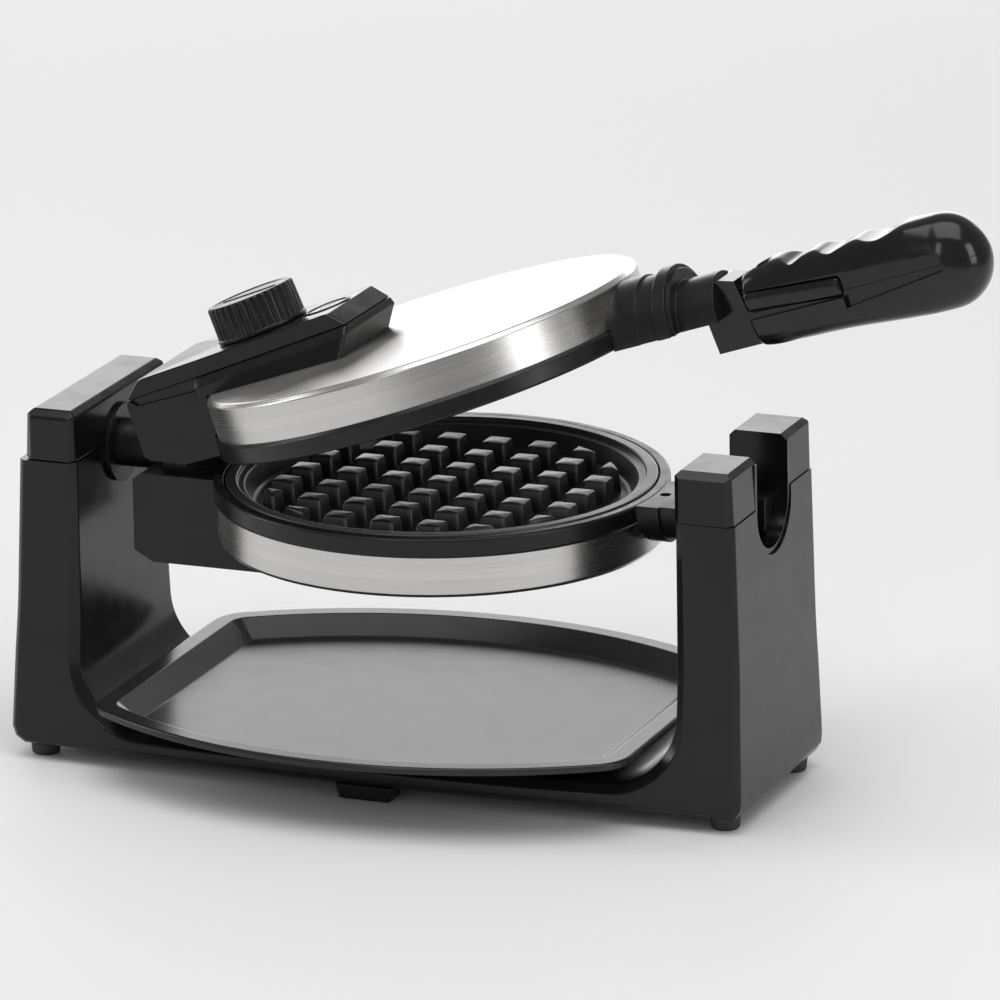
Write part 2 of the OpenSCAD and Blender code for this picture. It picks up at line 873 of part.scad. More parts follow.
// Arm between the neck and the folding grip, with a tongue that keys into the lower neck
module handle_arm() {
  color("#2f2f31") lid_place() difference() {
    union() {
      slab_y(19)
        polygon([[147 + tiny, upper_bottom], [158, upper_bottom], [156, axis_height + 15],
                 [149, axis_height + 17], [147 + tiny, axis_height + 17]]);
      slab_y(2 * tongue_half)
        union() {
          polygon([[tongue_start, upper_bottom - tiny], [tongue_start + 1, axis_height - 15],
                   [pivot_x, axis_height - 15], [pivot_x + 6, pivot_z], [158, upper_bottom + 4],
                   [156, upper_bottom + 4], [156, upper_bottom - tiny]]);
          translate([pivot_x, pivot_z]) circle(r = 6.5);
        }
    }
    translate([pivot_x, 0, pivot_z]) rod_y(60, pin_radius + tiny);
  }
}

module handle_pin() {
  color("#9a9c9e") lid_place() translate([pivot_x, 0, pivot_z])
    rod_y(grip_width - 6, pin_radius);
}

// ---------- Grip ----------

// Side view of the grip up to its round end, with finger scallops on top
module grip_side() {
  top = axis_height + 16;
  start = grip_start;
  difference() {
    polygon([[start, axis_height + 2], [start + 2, axis_height - 17],
             [start + 8, axis_height - 18.5], [bulb_x + 2, grip_middle_z - bulb_radius + 1.5],
             [bulb_x + 2, grip_middle_z + bulb_radius - 2], [start + 76, top + 1],
             [start + 5, top + 1.5], [start, top - 3]]);
    for (i = [0:2])
      translate([start + 28 + i * 21, top + 21]) circle(r = 22);
  }
}

// The grip before it is split: a bar with cut edges and a round end
module grip_body() {
  intersection() {
    slab_y(grip_width + 2) grip_side();
    translate([grip_start - 1, 0, grip_middle_z])
      rotate([90, 0, 90])
        linear_extrude(height = bulb_x - grip_start + 2)
          cut_square(grip_width - 1, 2 * bulb_radius + 1, 7);
  }
  intersection() {
    translate([bulb_x, 0, grip_middle_z]) sphere(r = bulb_radius);
    translate([bulb_x - bulb_radius, -grip_width / 2, grip_middle_z - bulb_radius - 1])
      cube([3 * bulb_radius, grip_width, 2 * bulb_radius + 2]);
  }
}

// Space in the near end of the grip for the arm's tongue through the whole fold
module grip_fork() {
  slab_y(2 * tongue_half + 2 * cheek_gap)
    union() {
      translate([pivot_x, pivot_z]) circle(r = 14);
      translate([grip_start - 2, 0]) square([12, 300]);
      translate([pivot_x - 14, 0]) square([14, 300]);
    }
}

module grip_split(upper) {
  shift = upper ? 0 : -80;
  translate([grip_start - 20, -40, grip_middle_z + 1 + shift + (upper ? tiny : 0)])
    cube([200, 80, 80]);
}

module grip_top() {
  color("#171718") lid_place() intersection() {
    difference() {
      grip_body();
      grip_fork();
    }
    grip_split(true);
  }
}

module grip_bottom() {
  color("#101011") lid_place() intersection() {
    difference() {
      grip_body();
      grip_fork();
      translate([pivot_x, 0, pivot_z]) rod_y(grip_width - 6 + 2 * tiny, pin_radius + run_gap);
      for (x = [pivot_x + 26, bulb_x - 4])
        translate([x, 0, 0]) {
          cylinder(h = 300, r = 1.6 + tiny);
          cylinder(h = grip_middle_z - 12, r = 3.4);
        }
      for (side = [-1, 1])
        translate([pivot_x + 24, side * (grip_width / 2 + 1.2), grip_middle_z - 3])
          rotate([0, 90, 0]) cylinder(h = bulb_x - pivot_x - 44, r = 3.4);
    }
    grip_split(false);
  }
}

module grip_screws() {
  color("#8d8f92") lid_place()
    for (x = [pivot_x + 26, bulb_x - 4])
      translate([x, 0, grip_middle_z - 14]) {
        cylinder(h = 15, r = 1.6);
        translate([0, 0, -0.2]) cylinder(h = 2, r = 3.2);
      }
}

// ---------- Knob ----------

module browning_knob() {
  ribs = 24;
  color("#0f0f10") cover_place() translate([0, 0, part_gap]) difference() {
    union() {
      cylinder(h = knob_height - 1.2, r = knob_radius - 1.2);
      cylinder(h = knob_height, r = knob_radius - 3);
      for (i = [0:ribs - 1])
        rotate([0, 0, i * 360 / ribs])
          translate([knob_radius - 1.8, 0, 0.6]) cylinder(h = knob_height - 2.6, r = 1.8);
    }
    translate([0, 0, -1]) cylinder(h = 11, r = spindle_radius + tiny);
    translate([6, -0.8, knob_height - 0.8]) cube([9, 1.6, 2]);
  }
}

module knob_spindle() {
  color("#9a9c9e") cover_place() translate([0, 0, -12.6])
    cylinder(h = 22, r = spindle_radius);
}

base_shell();
left_tower_cap();
right_tower_cap();
bearing_bush();
base_cover();
rubber_feet();
front_foot();
base_screws();
cord_inlet();
terminal_block();
drip_tray();
lower_shell();
lower_ring();
lower_grid_plate();
lower_element();
lower_reflector();
lower_thermal_fuse();
lower_plate_screws();
lower_hinge_block();
lower_neck();
neck_screw();
lid_hinge_pin();
pivot_shaft();
shaft_collar();
lid_shell();
lid_ring();
upper_grid_plate();
upper_element();
upper_reflector();
upper_plate_screws();
upper_hinge_block();
control_cover();
cover_flange();
thermostat();
indicator_lamps();
lamp_window();
upper_neck();
handle_arm();
handle_pin();
grip_top();
grip_bottom();
grip_screws();
browning_knob();
knob_spindle();
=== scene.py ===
"""Looks of the rotating waffle maker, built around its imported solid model.

Every new piece is a surface worked out with numpy in metres, in the frame of the solid model.
The lid is shaped shut and then swung open about its hinge by the angle at which it rests.
"""

import json
import math

import bmesh
import bpy
import numpy as np
from bpy.props import FloatVectorProperty, IntProperty, PointerProperty
from mathutils import Matrix, Vector

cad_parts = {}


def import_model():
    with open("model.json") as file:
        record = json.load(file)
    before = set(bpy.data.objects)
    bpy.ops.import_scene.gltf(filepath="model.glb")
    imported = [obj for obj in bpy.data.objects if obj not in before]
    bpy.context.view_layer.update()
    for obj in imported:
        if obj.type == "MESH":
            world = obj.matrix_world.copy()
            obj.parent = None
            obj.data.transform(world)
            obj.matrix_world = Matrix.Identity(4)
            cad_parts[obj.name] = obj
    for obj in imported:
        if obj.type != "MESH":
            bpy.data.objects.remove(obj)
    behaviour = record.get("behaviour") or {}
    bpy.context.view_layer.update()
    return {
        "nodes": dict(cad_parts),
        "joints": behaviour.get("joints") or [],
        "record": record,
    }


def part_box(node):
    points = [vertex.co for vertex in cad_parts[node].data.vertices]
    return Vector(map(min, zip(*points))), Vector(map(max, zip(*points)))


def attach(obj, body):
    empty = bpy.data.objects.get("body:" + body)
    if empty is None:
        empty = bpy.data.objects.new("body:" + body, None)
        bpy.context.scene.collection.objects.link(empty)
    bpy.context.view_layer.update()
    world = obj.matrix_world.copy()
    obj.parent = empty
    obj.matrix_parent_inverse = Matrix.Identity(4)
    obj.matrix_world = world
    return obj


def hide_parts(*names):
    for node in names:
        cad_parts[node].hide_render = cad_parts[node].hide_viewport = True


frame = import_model()

bl_info = {
    "name": "Rotating waffle maker",
    "version": (1, 0, 0),
    "blender": (4, 5, 0),
    "location": "3D View > Sidebar > Waffle maker",
    "description": "Builds the surfaces, finishes and studio of a rotating waffle maker",
    "category": "Object",
}

MM = 0.001

# ---------- Places read from the solid model ----------


def joint(name):
    """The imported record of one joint."""
    return next(j for j in frame["joints"] if j["name"] == name)


HEAD_X = sum(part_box("lower_ring")[k][0] for k in (0, 1)) / 2
HINGE = np.array(joint("lid_hinge")["pos_m"], float)
LID_OPEN = -math.radians(joint("lid_hinge")["range_deg"][0])


def edges(node, axis):
    """Lowest and highest value of a node's box along one axis, in millimetres from the head's centre."""
    low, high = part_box(node)
    shift = HEAD_X if axis == 0 else 0.0
    return (low[axis] - shift) / MM, (high[axis] - shift) / MM


# In millimetres: heights, and radii or distances along x from the head's centre.
AXIS = joint("head_rotation")["pos_m"][2] / MM
RING = edges("lower_ring", 1)[1]
BAND = edges("lower_shell", 1)[1]
BAND_BOTTOM, BAND_TOP = edges("lower_shell", 2)
MOUTH = edges("lower_grid_plate", 2)[1]
PLATE = edges("lower_grid_plate", 1)[1]
LID_TOP = 2 * AXIS - BAND_BOTTOM
HINGE_X = (HINGE[0] - HEAD_X) / MM
BASE_FLOOR = 18.5
KNOB_X = -74.0
COVER_TILT = math.radians(3.8)
COVER_SEAT = LID_TOP + 17.6
WINDOW_ALONG = 34.0  # from the knob's centre, along the cover's slope
LATHE_STEPS = 288  # round the wide rings and bands


def world(points, lid=False):
    """Millimetres from the head's centre line to metres in the shared frame.

    Lid points are given shut. They turn about the hinge by the resting angle a: with x and z measured
    from the hinge, x becomes x cos a - z sin a and z becomes x sin a + z cos a.
    """
    points = np.asarray(points, float) * MM
    points = points + np.array([HEAD_X, 0.0, 0.0])
    if not lid:
        return points
    x = points[..., 0] - HINGE[0]
    z = points[..., 2] - HINGE[2]
    c, s = math.cos(LID_OPEN), math.sin(LID_OPEN)
    return np.stack([HINGE[0] + x * c - z * s, points[..., 1], HINGE[2] + x * s + z * c], -1)


def on_cover(points):
    """Points on the sloping top of the control cover to the frame of the shut lid.

    The first number runs along the slope from the knob's centre and the third stands up from it.
    """
    points = np.asarray(points, float)
    u, y, w = points[..., 0], points[..., 1], points[..., 2]
    c, s = math.cos(COVER_TILT), math.sin(COVER_TILT)
    return np.stack([KNOB_X + u * c - w * s, y, COVER_SEAT + u * s + w * c], -1)


def mirrored_up(points):
    """Mirrors lower-half points, in millimetres, in the level plane through the head's axis."""
    points = np.array(points, float)
    points[..., 2] = 2 * AXIS - points[..., 2]
    return points


# ---------- Meshes from arrays ----------


def new_object(name, mesh):
    obj = bpy.data.objects.new(name, mesh)
    bpy.context.scene.collection.objects.link(obj)
    return obj


def mesh_from_arrays(name, verts, quads, uvs=None):
    """Puts vertex rows and quad rows into a mesh; uvs gives one pair for every vertex."""
    mesh = bpy.data.meshes.new(name)
    mesh.vertices.add(len(verts))
    mesh.vertices.foreach_set("co", np.asarray(verts, np.float32).ravel())
    mesh.loops.add(quads.size)
    mesh.loops.foreach_set("vertex_index", quads.astype(np.int32).ravel())
    mesh.polygons.add(len(quads))
    mesh.polygons.foreach_set("loop_start", np.arange(0, quads.size, quads.shape[1], dtype=np.int32))
    mesh.polygons.foreach_set("loop_total", np.full(len(quads), quads.shape[1], np.int32))
    mesh.update(calc_edges=True)
    if uvs is not None:
        layer = mesh.uv_layers.new(name="UVMap")
        layer.data.foreach_set("uv", np.asarray(uvs, np.float32)[quads.ravel()].ravel())
    mesh.validate()
    return mesh


def grid_quads(rows, columns, wrap_rows=False, wrap_columns=False):
    """Corner numbers of the quads of a grid; wrapping joins the last row or column to the first."""
    r = np.arange(rows if wrap_rows else rows - 1)
    c = np.arange(columns if wrap_columns else columns - 1)
    i, j = np.meshgrid(r, c, indexing="ij")
    i2, j2 = (i + 1) % rows, (j + 1) % columns
    return np.stack([i * columns + j, i2 * columns + j, i2 * columns + j2, i * columns + j2], -1).reshape(-1, 4)


def tidy_mesh(mesh, merge=1e-6):
    """Merges doubled corners, drops flat faces and turns every face outwards."""
    work = bmesh.new()
    work.from_mesh(mesh)
    bmesh.ops.remove_doubles(work, verts=work.verts, dist=merge)
    bmesh.ops.dissolve_degenerate(work, edges=work.edges, dist=merge)
    bmesh.ops.delete(work, geom=[edge for edge in work.edges if edge.is_wire], context="EDGES")
    bmesh.ops.recalc_face_normals(work, faces=work.faces)
    work.to_mesh(mesh)
    work.free()


def smooth(obj, angle=35.0):
    """Shades smooth and keeps edges sharper than the angle crisp."""
    mesh = obj.data
    mesh.polygons.foreach_set("use_smooth", np.ones(len(mesh.polygons), bool))
    mesh.set_sharp_from_angle(angle=math.radians(angle))
    mesh.update()


def surface(name, points, wrap_rows=False, wrap_columns=False, uvs=None, angle=40.0):
    """A closed or open surface from a grid of points, one row for each step along it."""
    rows, columns = points.shape[:2]
    quads = grid_quads(rows, columns, wrap_rows, wrap_columns)
    flat_uv = None if uvs is None else uvs.reshape(-1, 2)
    mesh = mesh_from_arrays(name, points.reshape(-1, 3), quads, flat_uv)
    tidy_mesh(mesh)
    obj = new_object(name, mesh)
    smooth(obj, angle)
    return obj


def joined(name, objects):
    """Joins objects into one mesh object, which has no finish yet, and removes them."""
    work = bmesh.new()
    for obj in objects:
        work.from_mesh(obj.data)
    mesh = bpy.data.meshes.new(name)
    work.to_mesh(mesh)
    work.free()
    for obj in objects:
        old = obj.data
        bpy.data.objects.remove(obj)
        bpy.data.meshes.remove(old)
    return new_object(name, mesh)


def filleted(points, radii, steps=7):
    """A polyline with each inner corner replaced by an arc.

    The arc touches both sides at radius times the tangent of half the turn from the corner. A spare
    point before and after each arc keeps the shading of the flats flat.
    """
    points = np.asarray(points, float)
    out = [points[0]]
    for k in range(1, len(points) - 1):
        radius = radii[k] if np.ndim(radii) else radii
        a, b = points[k - 1] - points[k], points[k + 1] - points[k]
        la, lb = np.linalg.norm(a), np.linalg.norm(b)
        a, b = a / la, b / lb
        turn = math.pi - math.acos(max(-1.0, min(1.0, float(a @ b))))
        if radius <= 0 or turn < 0.02:
            out.append(points[k])
            continue
        reach = min(radius * math.tan(turn / 2), 0.47 * la, 0.47 * lb)
        radius = reach / math.tan(turn / 2)
        middle = a + b
        middle = points[k] + middle / np.linalg.norm(middle) * radius / math.cos(turn / 2)
        start, end = points[k] + a * reach, points[k] + b * reach
        out.append(start + a * min(0.25 * reach, 0.02 * la + 1e-5))
        u = start - middle
        sweep = np.linspace(0, turn, steps)
        side = np.sign(u[0] * (end - middle)[1] - u[1] * (end - middle)[0])
        c, s = np.cos(sweep), np.sin(sweep) * side
        out.extend(np.stack([middle[0] + u[0] * c - u[1] * s, middle[1] + u[0] * s + u[1] * c], -1))
        out.append(end + b * min(0.25 * reach, 0.02 * lb + 1e-5))
    out.append(points[-1])
    return np.array(out)


def lathe(name, profile, centre=(0.0, 0.0), steps=192, lid=False, place=None, ripple=None, angle=40.0):
    """A closed profile of (radius, height) pairs carried round a vertical line.

    Point (i, j) is the centre plus radius i times the unit vector at angle j, at height i. ripple
    takes the profile and the angles and gives the radius of each point. place moves the finished
    points. u runs round the piece by arc length and v along the profile, both in metres.
    """
    profile = np.asarray(profile, float)
    turn = np.linspace(0, 2 * math.pi, steps + 1)
    radius = np.repeat(profile[:, :1], steps + 1, 1)
    if ripple is not None:
        radius = ripple(profile, turn)
    height = np.repeat(profile[:, 1:2], steps + 1, 1)
    points = np.stack([centre[0] + radius * np.cos(turn), centre[1] + radius * np.sin(turn), height], -1)
    if place is not None:
        points = place(points)
    along = np.concatenate([[0], np.cumsum(np.linalg.norm(np.diff(profile, axis=0), axis=1))])
    u, v = np.meshgrid(turn * profile[:, 0].max() * MM, along * MM)
    return surface(name, world(points, lid), wrap_rows=True, uvs=np.stack([u, v], -1), angle=angle)


def stacked(name, loops, lid=False, angle=30.0):
    """A closed body skinned over a stack of loops, its first and last loop filled to their middles."""
    loops = np.asarray(loops, float)
    first = np.repeat(loops[:1].mean(1, keepdims=True), loops.shape[1], 1)
    last = np.repeat(loops[-1:].mean(1, keepdims=True), loops.shape[1], 1)
    points = np.concatenate([first, loops, last])
    return surface(name, world(points, lid), wrap_columns=True, angle=angle)


def rounded_loop(corners, radius, steps=6):
    """A closed outline through the corners with every corner rounded; a row of (x, y) points."""
    corners = np.asarray(corners, float)
    ring = np.concatenate([corners[-1:], corners, corners[:1]])
    radii = np.broadcast_to(np.asarray(radius, float), (len(corners),))
    radii = np.concatenate([[0.0], radii, [0.0]])
    start = (ring[0] + ring[1]) / 2
    end = (ring[-2] + ring[-1]) / 2
    path = np.concatenate([[start], ring[1:-1], [end]])
    out = filleted(path, radii, steps)
    return out[:-1] if np.allclose(out[0], out[-1]) else out


def inset_corners(corners, depth):
    """Moves each side of an anticlockwise outline inwards by its depth and meets the sides again."""
    corners = np.asarray(corners, float)
    depth = np.broadcast_to(np.asarray(depth, float), (len(corners),))
    side = np.roll(corners, -1, 0) - corners
    normal = np.stack([-side[:, 1], side[:, 0]], -1) / np.linalg.norm(side, axis=1)[:, None]
    level = (normal * corners).sum(1) + depth
    n0, n1 = np.roll(normal, 1, 0), normal
    l0, l1 = np.roll(level, 1), level
    det = n0[:, 0] * n1[:, 1] - n0[:, 1] * n1[:, 0]
    return np.stack([(l0 * n1[:, 1] - l1 * n0[:, 1]) / det, (n0[:, 0] * l1 - n1[:, 0] * l0) / det], -1)


def cut_away(obj, cutter):
    """Takes the cutter out of the object for good and removes the cutter."""
    cut = obj.modifiers.new("Cut", "BOOLEAN")
    cut.operation = "DIFFERENCE"
    cut.solver = "EXACT"
    cut.object = cutter
    bpy.context.view_layer.update()
    graph = bpy.context.evaluated_depsgraph_get()
    mesh = bpy.data.meshes.new_from_object(obj.evaluated_get(graph))
    obj.modifiers.clear()
    old = obj.data
    obj.data = mesh
    bpy.data.meshes.remove(old)
    old = cutter.data
    bpy.data.objects.remove(cutter)
    bpy.data.meshes.remove(old)


def softened(node, name, width, segments=3, angle=18.0, merge=2e-6):
    """A merged copy of a solid-model node with its sharp edges rounded by a Bevel modifier."""
    mesh = frame["nodes"][node].data.copy()
    mesh.name = name
    mesh.materials.clear()
    work = bmesh.new()
    work.from_mesh(mesh)
    bmesh.ops.remove_doubles(work, verts=work.verts, dist=merge)
    bmesh.ops.dissolve_limit(work, angle_limit=math.radians(1.0), verts=work.verts, edges=work.edges)
    work.to_mesh(mesh)
    work.free()
    obj = new_object(name, mesh)
    smooth(obj, 7.0)
    bevel = obj.modifiers.new("Rounded edges", "BEVEL")
    bevel.width = width
    bevel.segments = segments
    bevel.limit_method = "ANGLE"
    bevel.angle_limit = math.radians(angle)
    bevel.harden_normals = True
    bevel.miter_outer = "MITER_ARC"
    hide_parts(node)
    return obj


# ---------- Shader maths ----------


class Wire:
    """A shader socket on which + and * work, adding Math nodes."""

    def __init__(self, paint, socket):
        self.paint = paint
        self.socket = socket

    def calc(self, operation, other):
        return self.paint.add("ShaderNodeMath", {"operation": operation}, {0: self, 1: other})

    def __add__(self, other):
        return self.calc("ADD", other)

    __radd__ = __add__

    def __mul__(self, other):
        return self.calc("MULTIPLY", other)

    __rmul__ = __mul__

    def step(self, low, high, to_low=0.0, to_high=1.0):
        """Smooth step from one level to another."""
        return self.paint.add(
            "ShaderNodeMapRange",
            {"interpolation_type": "SMOOTHSTEP"},
            {"Value": self, "From Min": low, "From Max": high, "To Min": to_low, "To Max": to_high},
        )


class Paint:
    """One material and the node tree behind it."""

    def __init__(self, name):
        self.material = bpy.data.materials.new(name)
        self.material.use_nodes = True
        self.tree = self.material.node_tree
        self.shader = self.tree.nodes["Principled BSDF"]

    def add(self, kind, settings=None, inputs=None, out=0):
        """Adds a node: settings first, then each socket's value or link; returns one output."""
        made = self.tree.nodes.new(kind)
        for key, value in (settings or {}).items():
            setattr(made, key, value)
        for key, value in (inputs or {}).items():
            self.feed(made.inputs[key], value)
        return Wire(self, made.outputs[out])

    def feed(self, socket, value):
        if isinstance(value, Wire):
            self.tree.links.new(value.socket, socket)
        elif np.ndim(value) and len(value) == 3 and socket.type == "RGBA":
            socket.default_value = (*value, 1.0)
        else:
            socket.default_value = value

    def set(self, **values):
        """Sets sockets of the main shader; an underscore stands for a space."""
        for key, value in values.items():
            self.feed(self.shader.inputs[key.replace("_", " ")], value)

    def place(self, output="Object"):
        return self.add("ShaderNodeTexCoord", None, None, output)

    def scaled(self, vector, scale):
        return self.add("ShaderNodeMapping", {"vector_type": "POINT"}, {"Vector": vector, "Scale": scale})

    def noise(self, vector, scale, detail=3.0, rough=0.5):
        return self.add("ShaderNodeTexNoise", None,
                        {"Vector": vector, "Scale": scale, "Detail": detail, "Roughness": rough})

    def mix(self, factor, first, second):
        """A colour between two colours, through the colour sockets of a Mix node."""
        return self.add("ShaderNodeMix", {"data_type": "RGBA"}, {0: factor, 6: first, 7: second}, 2)

    def bump(self, height, distance, strength=1.0):
        return self.add("ShaderNodeBump", None, {"Height": height, "Distance": distance, "Strength": strength})


def give(obj, material):
    """Puts one material on a whole object."""
    obj.data.materials.clear()
    obj.data.materials.append(material)
    return obj


# ---------- Finishes ----------


def moulded_plastic(name, colour, roughness, grain, grain_depth, coat=0.0, wear=0.18, index=1.4):
    """Moulded plastic: faint tone change, uneven gloss and a fine grain.

    The colour moves between two close tones with a broad noise. Roughness rises with a mid noise as
    handling dulls it. The bump is a very fine noise of the mould's texture.
    """
    paint = Paint(name)
    where = paint.place()
    broad = paint.noise(where, 9.0, 2.0)
    mid = paint.noise(where, 70.0, 4.0, 0.6)
    fine = paint.noise(where, grain, 2.0, 0.6)
    light = tuple(min(1.0, c * 1.3 + 0.003) for c in colour)
    tone = paint.mix(broad.step(0.35, 0.7), colour, light)
    paint.set(Base_Color=tone, Roughness=mid.step(0.3, 0.75, roughness * (1 - wear), roughness * (1 + wear)),
              Normal=paint.bump(fine, grain_depth, 0.6), IOR=index, Coat_Weight=coat, Coat_Roughness=0.06)
    return paint.material


def brushed_steel(name, colour, scale, roughness):
    """Brushed stainless steel.

    scale stretches a noise along the brushing, so its grains become lines. The lines move tone,
    roughness and a shallow bump, and a broad noise adds the smudges of handling.
    """
    paint = Paint(name)
    where = paint.place("UV" if scale[2] == 1.0 else "Object")
    lines = paint.noise(paint.scaled(where, scale), 1.0, 6.0, 0.75)
    broad = paint.noise(paint.scaled(where, tuple(v * 0.06 for v in scale)), 1.0, 3.0, 0.6)
    smudge = paint.noise(paint.place(), 16.0, 3.0)
    dark = tuple(c * 0.78 for c in colour)
    tone = paint.mix((lines * 0.6 + broad * 0.4).step(0.3, 0.7), dark, colour)
    rough = lines.step(0.25, 0.8, roughness * 0.8, roughness * 1.25) + smudge.step(0.45, 0.75) * 0.04
    paint.set(Base_Color=tone, Metallic=1.0, Roughness=rough, Normal=paint.bump(lines, 0.00002, 0.45),
              Anisotropic=0.4)
    return paint.material


def nonstick(name, colour):
    """Baked non-stick coating: near-black grey with fine orange peel and tiny bright flecks."""
    paint = Paint(name)
    where = paint.place()
    peel = paint.noise(where, 900.0, 2.0)
    fleck = paint.noise(where, 5200.0, 1.0)
    broad = paint.noise(where, 22.0, 3.0)
    tone = paint.mix(broad.step(0.35, 0.7), tuple(c * 0.7 for c in colour), colour)
    tone = paint.mix(fleck.step(0.68, 0.78, 0.0, 0.5), tone, (0.20, 0.20, 0.21))
    paint.set(Base_Color=tone, Roughness=broad.step(0.3, 0.8, 0.30, 0.44), Metallic=0.25, IOR=1.6,
              Normal=paint.bump(peel, 0.00006, 0.6))
    return paint.material


def plain_metal(name, colour, roughness):
    """Plated or cast metal with fine random scratches in its gloss."""
    paint = Paint(name)
    where = paint.place()
    lines = paint.noise(paint.scaled(where, (900.0, 900.0, 60.0)), 1.0, 4.0, 0.7)
    broad = paint.noise(where, 60.0, 3.0)
    dark = tuple(c * 0.75 for c in colour)
    paint.set(Base_Color=paint.mix(broad.step(0.3, 0.75), dark, colour), Metallic=1.0,
              Roughness=lines.step(0.3, 0.8, roughness * 0.8, roughness * 1.3),
              Normal=paint.bump(lines, 0.00002, 0.4))
    return paint.material


def foot_rubber(name):
    """Soft rubber: dull, slightly dusty and finely pitted."""
    paint = Paint(name)
    where = paint.place()
    fine = paint.noise(where, 1800.0, 2.0)
    broad = paint.noise(where, 120.0, 3.0)
    paint.set(Base_Color=paint.mix(broad.step(0.3, 0.7), (0.020, 0.020, 0.021), (0.040, 0.039, 0.038)),
              Roughness=broad.step(0.3, 0.8, 0.60, 0.80), Normal=paint.bump(fine, 0.0001, 0.7))
    return paint.material


def clear_window(name):
    """Smoked clear plastic with faint smudges in its gloss."""
    paint = Paint(name)
    smudge = paint.noise(paint.place(), 90.0, 3.0)
    paint.set(Base_Color=(0.50, 0.52, 0.54), Roughness=smudge.step(0.3, 0.8, 0.05, 0.16), Alpha=0.45, IOR=1.45)
    return paint.material


def lamp_lens(name, colour):
    """Tinted lens with fine cells that scatter the light."""
    paint = Paint(name)
    cells = paint.noise(paint.place(), 1500.0, 1.0)
    dark = tuple(c * 0.6 for c in colour)
    paint.set(Base_Color=paint.mix(cells.step(0.3, 0.7), dark, colour), Roughness=0.18,
              Normal=paint.bump(cells, 0.00005, 0.5))
    return paint.material


finishes = {}


def make_finishes(colours):
    """Makes every finish once, from the colours a user chose."""
    black = tuple(colours.plastic)
    soft = tuple(c * 1.35 for c in black)
    steel = tuple(colours.steel)
    finishes.update({
        "gloss_black": moulded_plastic("Gloss black plastic", black, 0.22, 1500.0, 0.000012),
        "satin_black": moulded_plastic("Satin black plastic", soft, 0.32, 2200.0, 0.00003),
        "grip_black": moulded_plastic("Grip black plastic", black, 0.18, 1900.0, 0.00002, 0.2),
        "tray_black": moulded_plastic("Tray gloss plastic", tuple(colours.tray), 0.26, 1200.0, 0.00001,
                                      wear=0.04),
        "brushed_steel": brushed_steel("Brushed steel band", steel, (14.0, 5200.0, 1.0), 0.25),
        "brushed_top": brushed_steel("Brushed steel top", steel, (12.0, 3800.0, 12.0), 0.34),
        "nonstick": nonstick("Non-stick coating", tuple(colours.coating)),
        "heater": plain_metal("Heat-tinted sheath", (0.22, 0.19, 0.17), 0.45),
        "reflector": plain_metal("Pressed aluminium", (0.75, 0.75, 0.76), 0.30),
        "steel_fixings": plain_metal("Plated steel", (0.55, 0.56, 0.57), 0.26),
        "foot_rubber": foot_rubber("Foot rubber"),
        "ceramic": moulded_plastic("Pale insulator", (0.70, 0.67, 0.60), 0.55, 900.0, 0.00003),
        "lamp": lamp_lens("Lamp lens", (0.10, 0.34, 0.10)),
        "window": clear_window("Clear window"),
    })


def settle(obj, body, look, nodes=()):
    """Gives a piece its finish, its body and the nodes it stands for."""
    give(obj, finishes[look])
    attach(obj, body)
    for node in nodes:
        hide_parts(node)
    return obj


def at_height(plan, z):
    """A plan outline lifted to one height."""
    return np.column_stack([plan, np.full(len(plan), z)])


# ---------- Base ----------


def cradle_path():
    """Points down the left tower's inner wall, across the floor and up the right one.

    Returns the points and, at each, the unit direction into the wall: level on the walls, straight
    down on the floor and along the radius in the two round corners.
    """
    left, right = edges("left_tower_cap", 0)[1], edges("right_tower_cap", 0)[0]
    top, floor = edges("base_shell", 2)[1], BASE_FLOOR
    radius = 32.0
    wall = np.linspace(top, floor + radius, 12)[:-1]
    turn = np.linspace(0, math.pi / 2, 26)
    across = np.linspace(left + radius, right - radius, 60)[1:-1]
    ones = np.ones_like
    xs = [left * ones(wall), left + radius - radius * np.cos(turn), across,
          right - radius + radius * np.sin(turn), right * ones(wall)]
    zs = [wall, floor + radius - radius * np.sin(turn), floor * ones(across),
          floor + radius - radius * np.cos(turn), wall[::-1]]
    nx = [-ones(wall), -np.cos(turn), 0 * across, np.sin(turn), ones(wall)]
    nz = [0 * wall, -np.sin(turn), -ones(across), -np.cos(turn), 0 * wall]
    return (np.stack([np.concatenate(xs), np.concatenate(zs)], -1),
            np.stack([np.concatenate(nx), np.concatenate(nz)], -1))


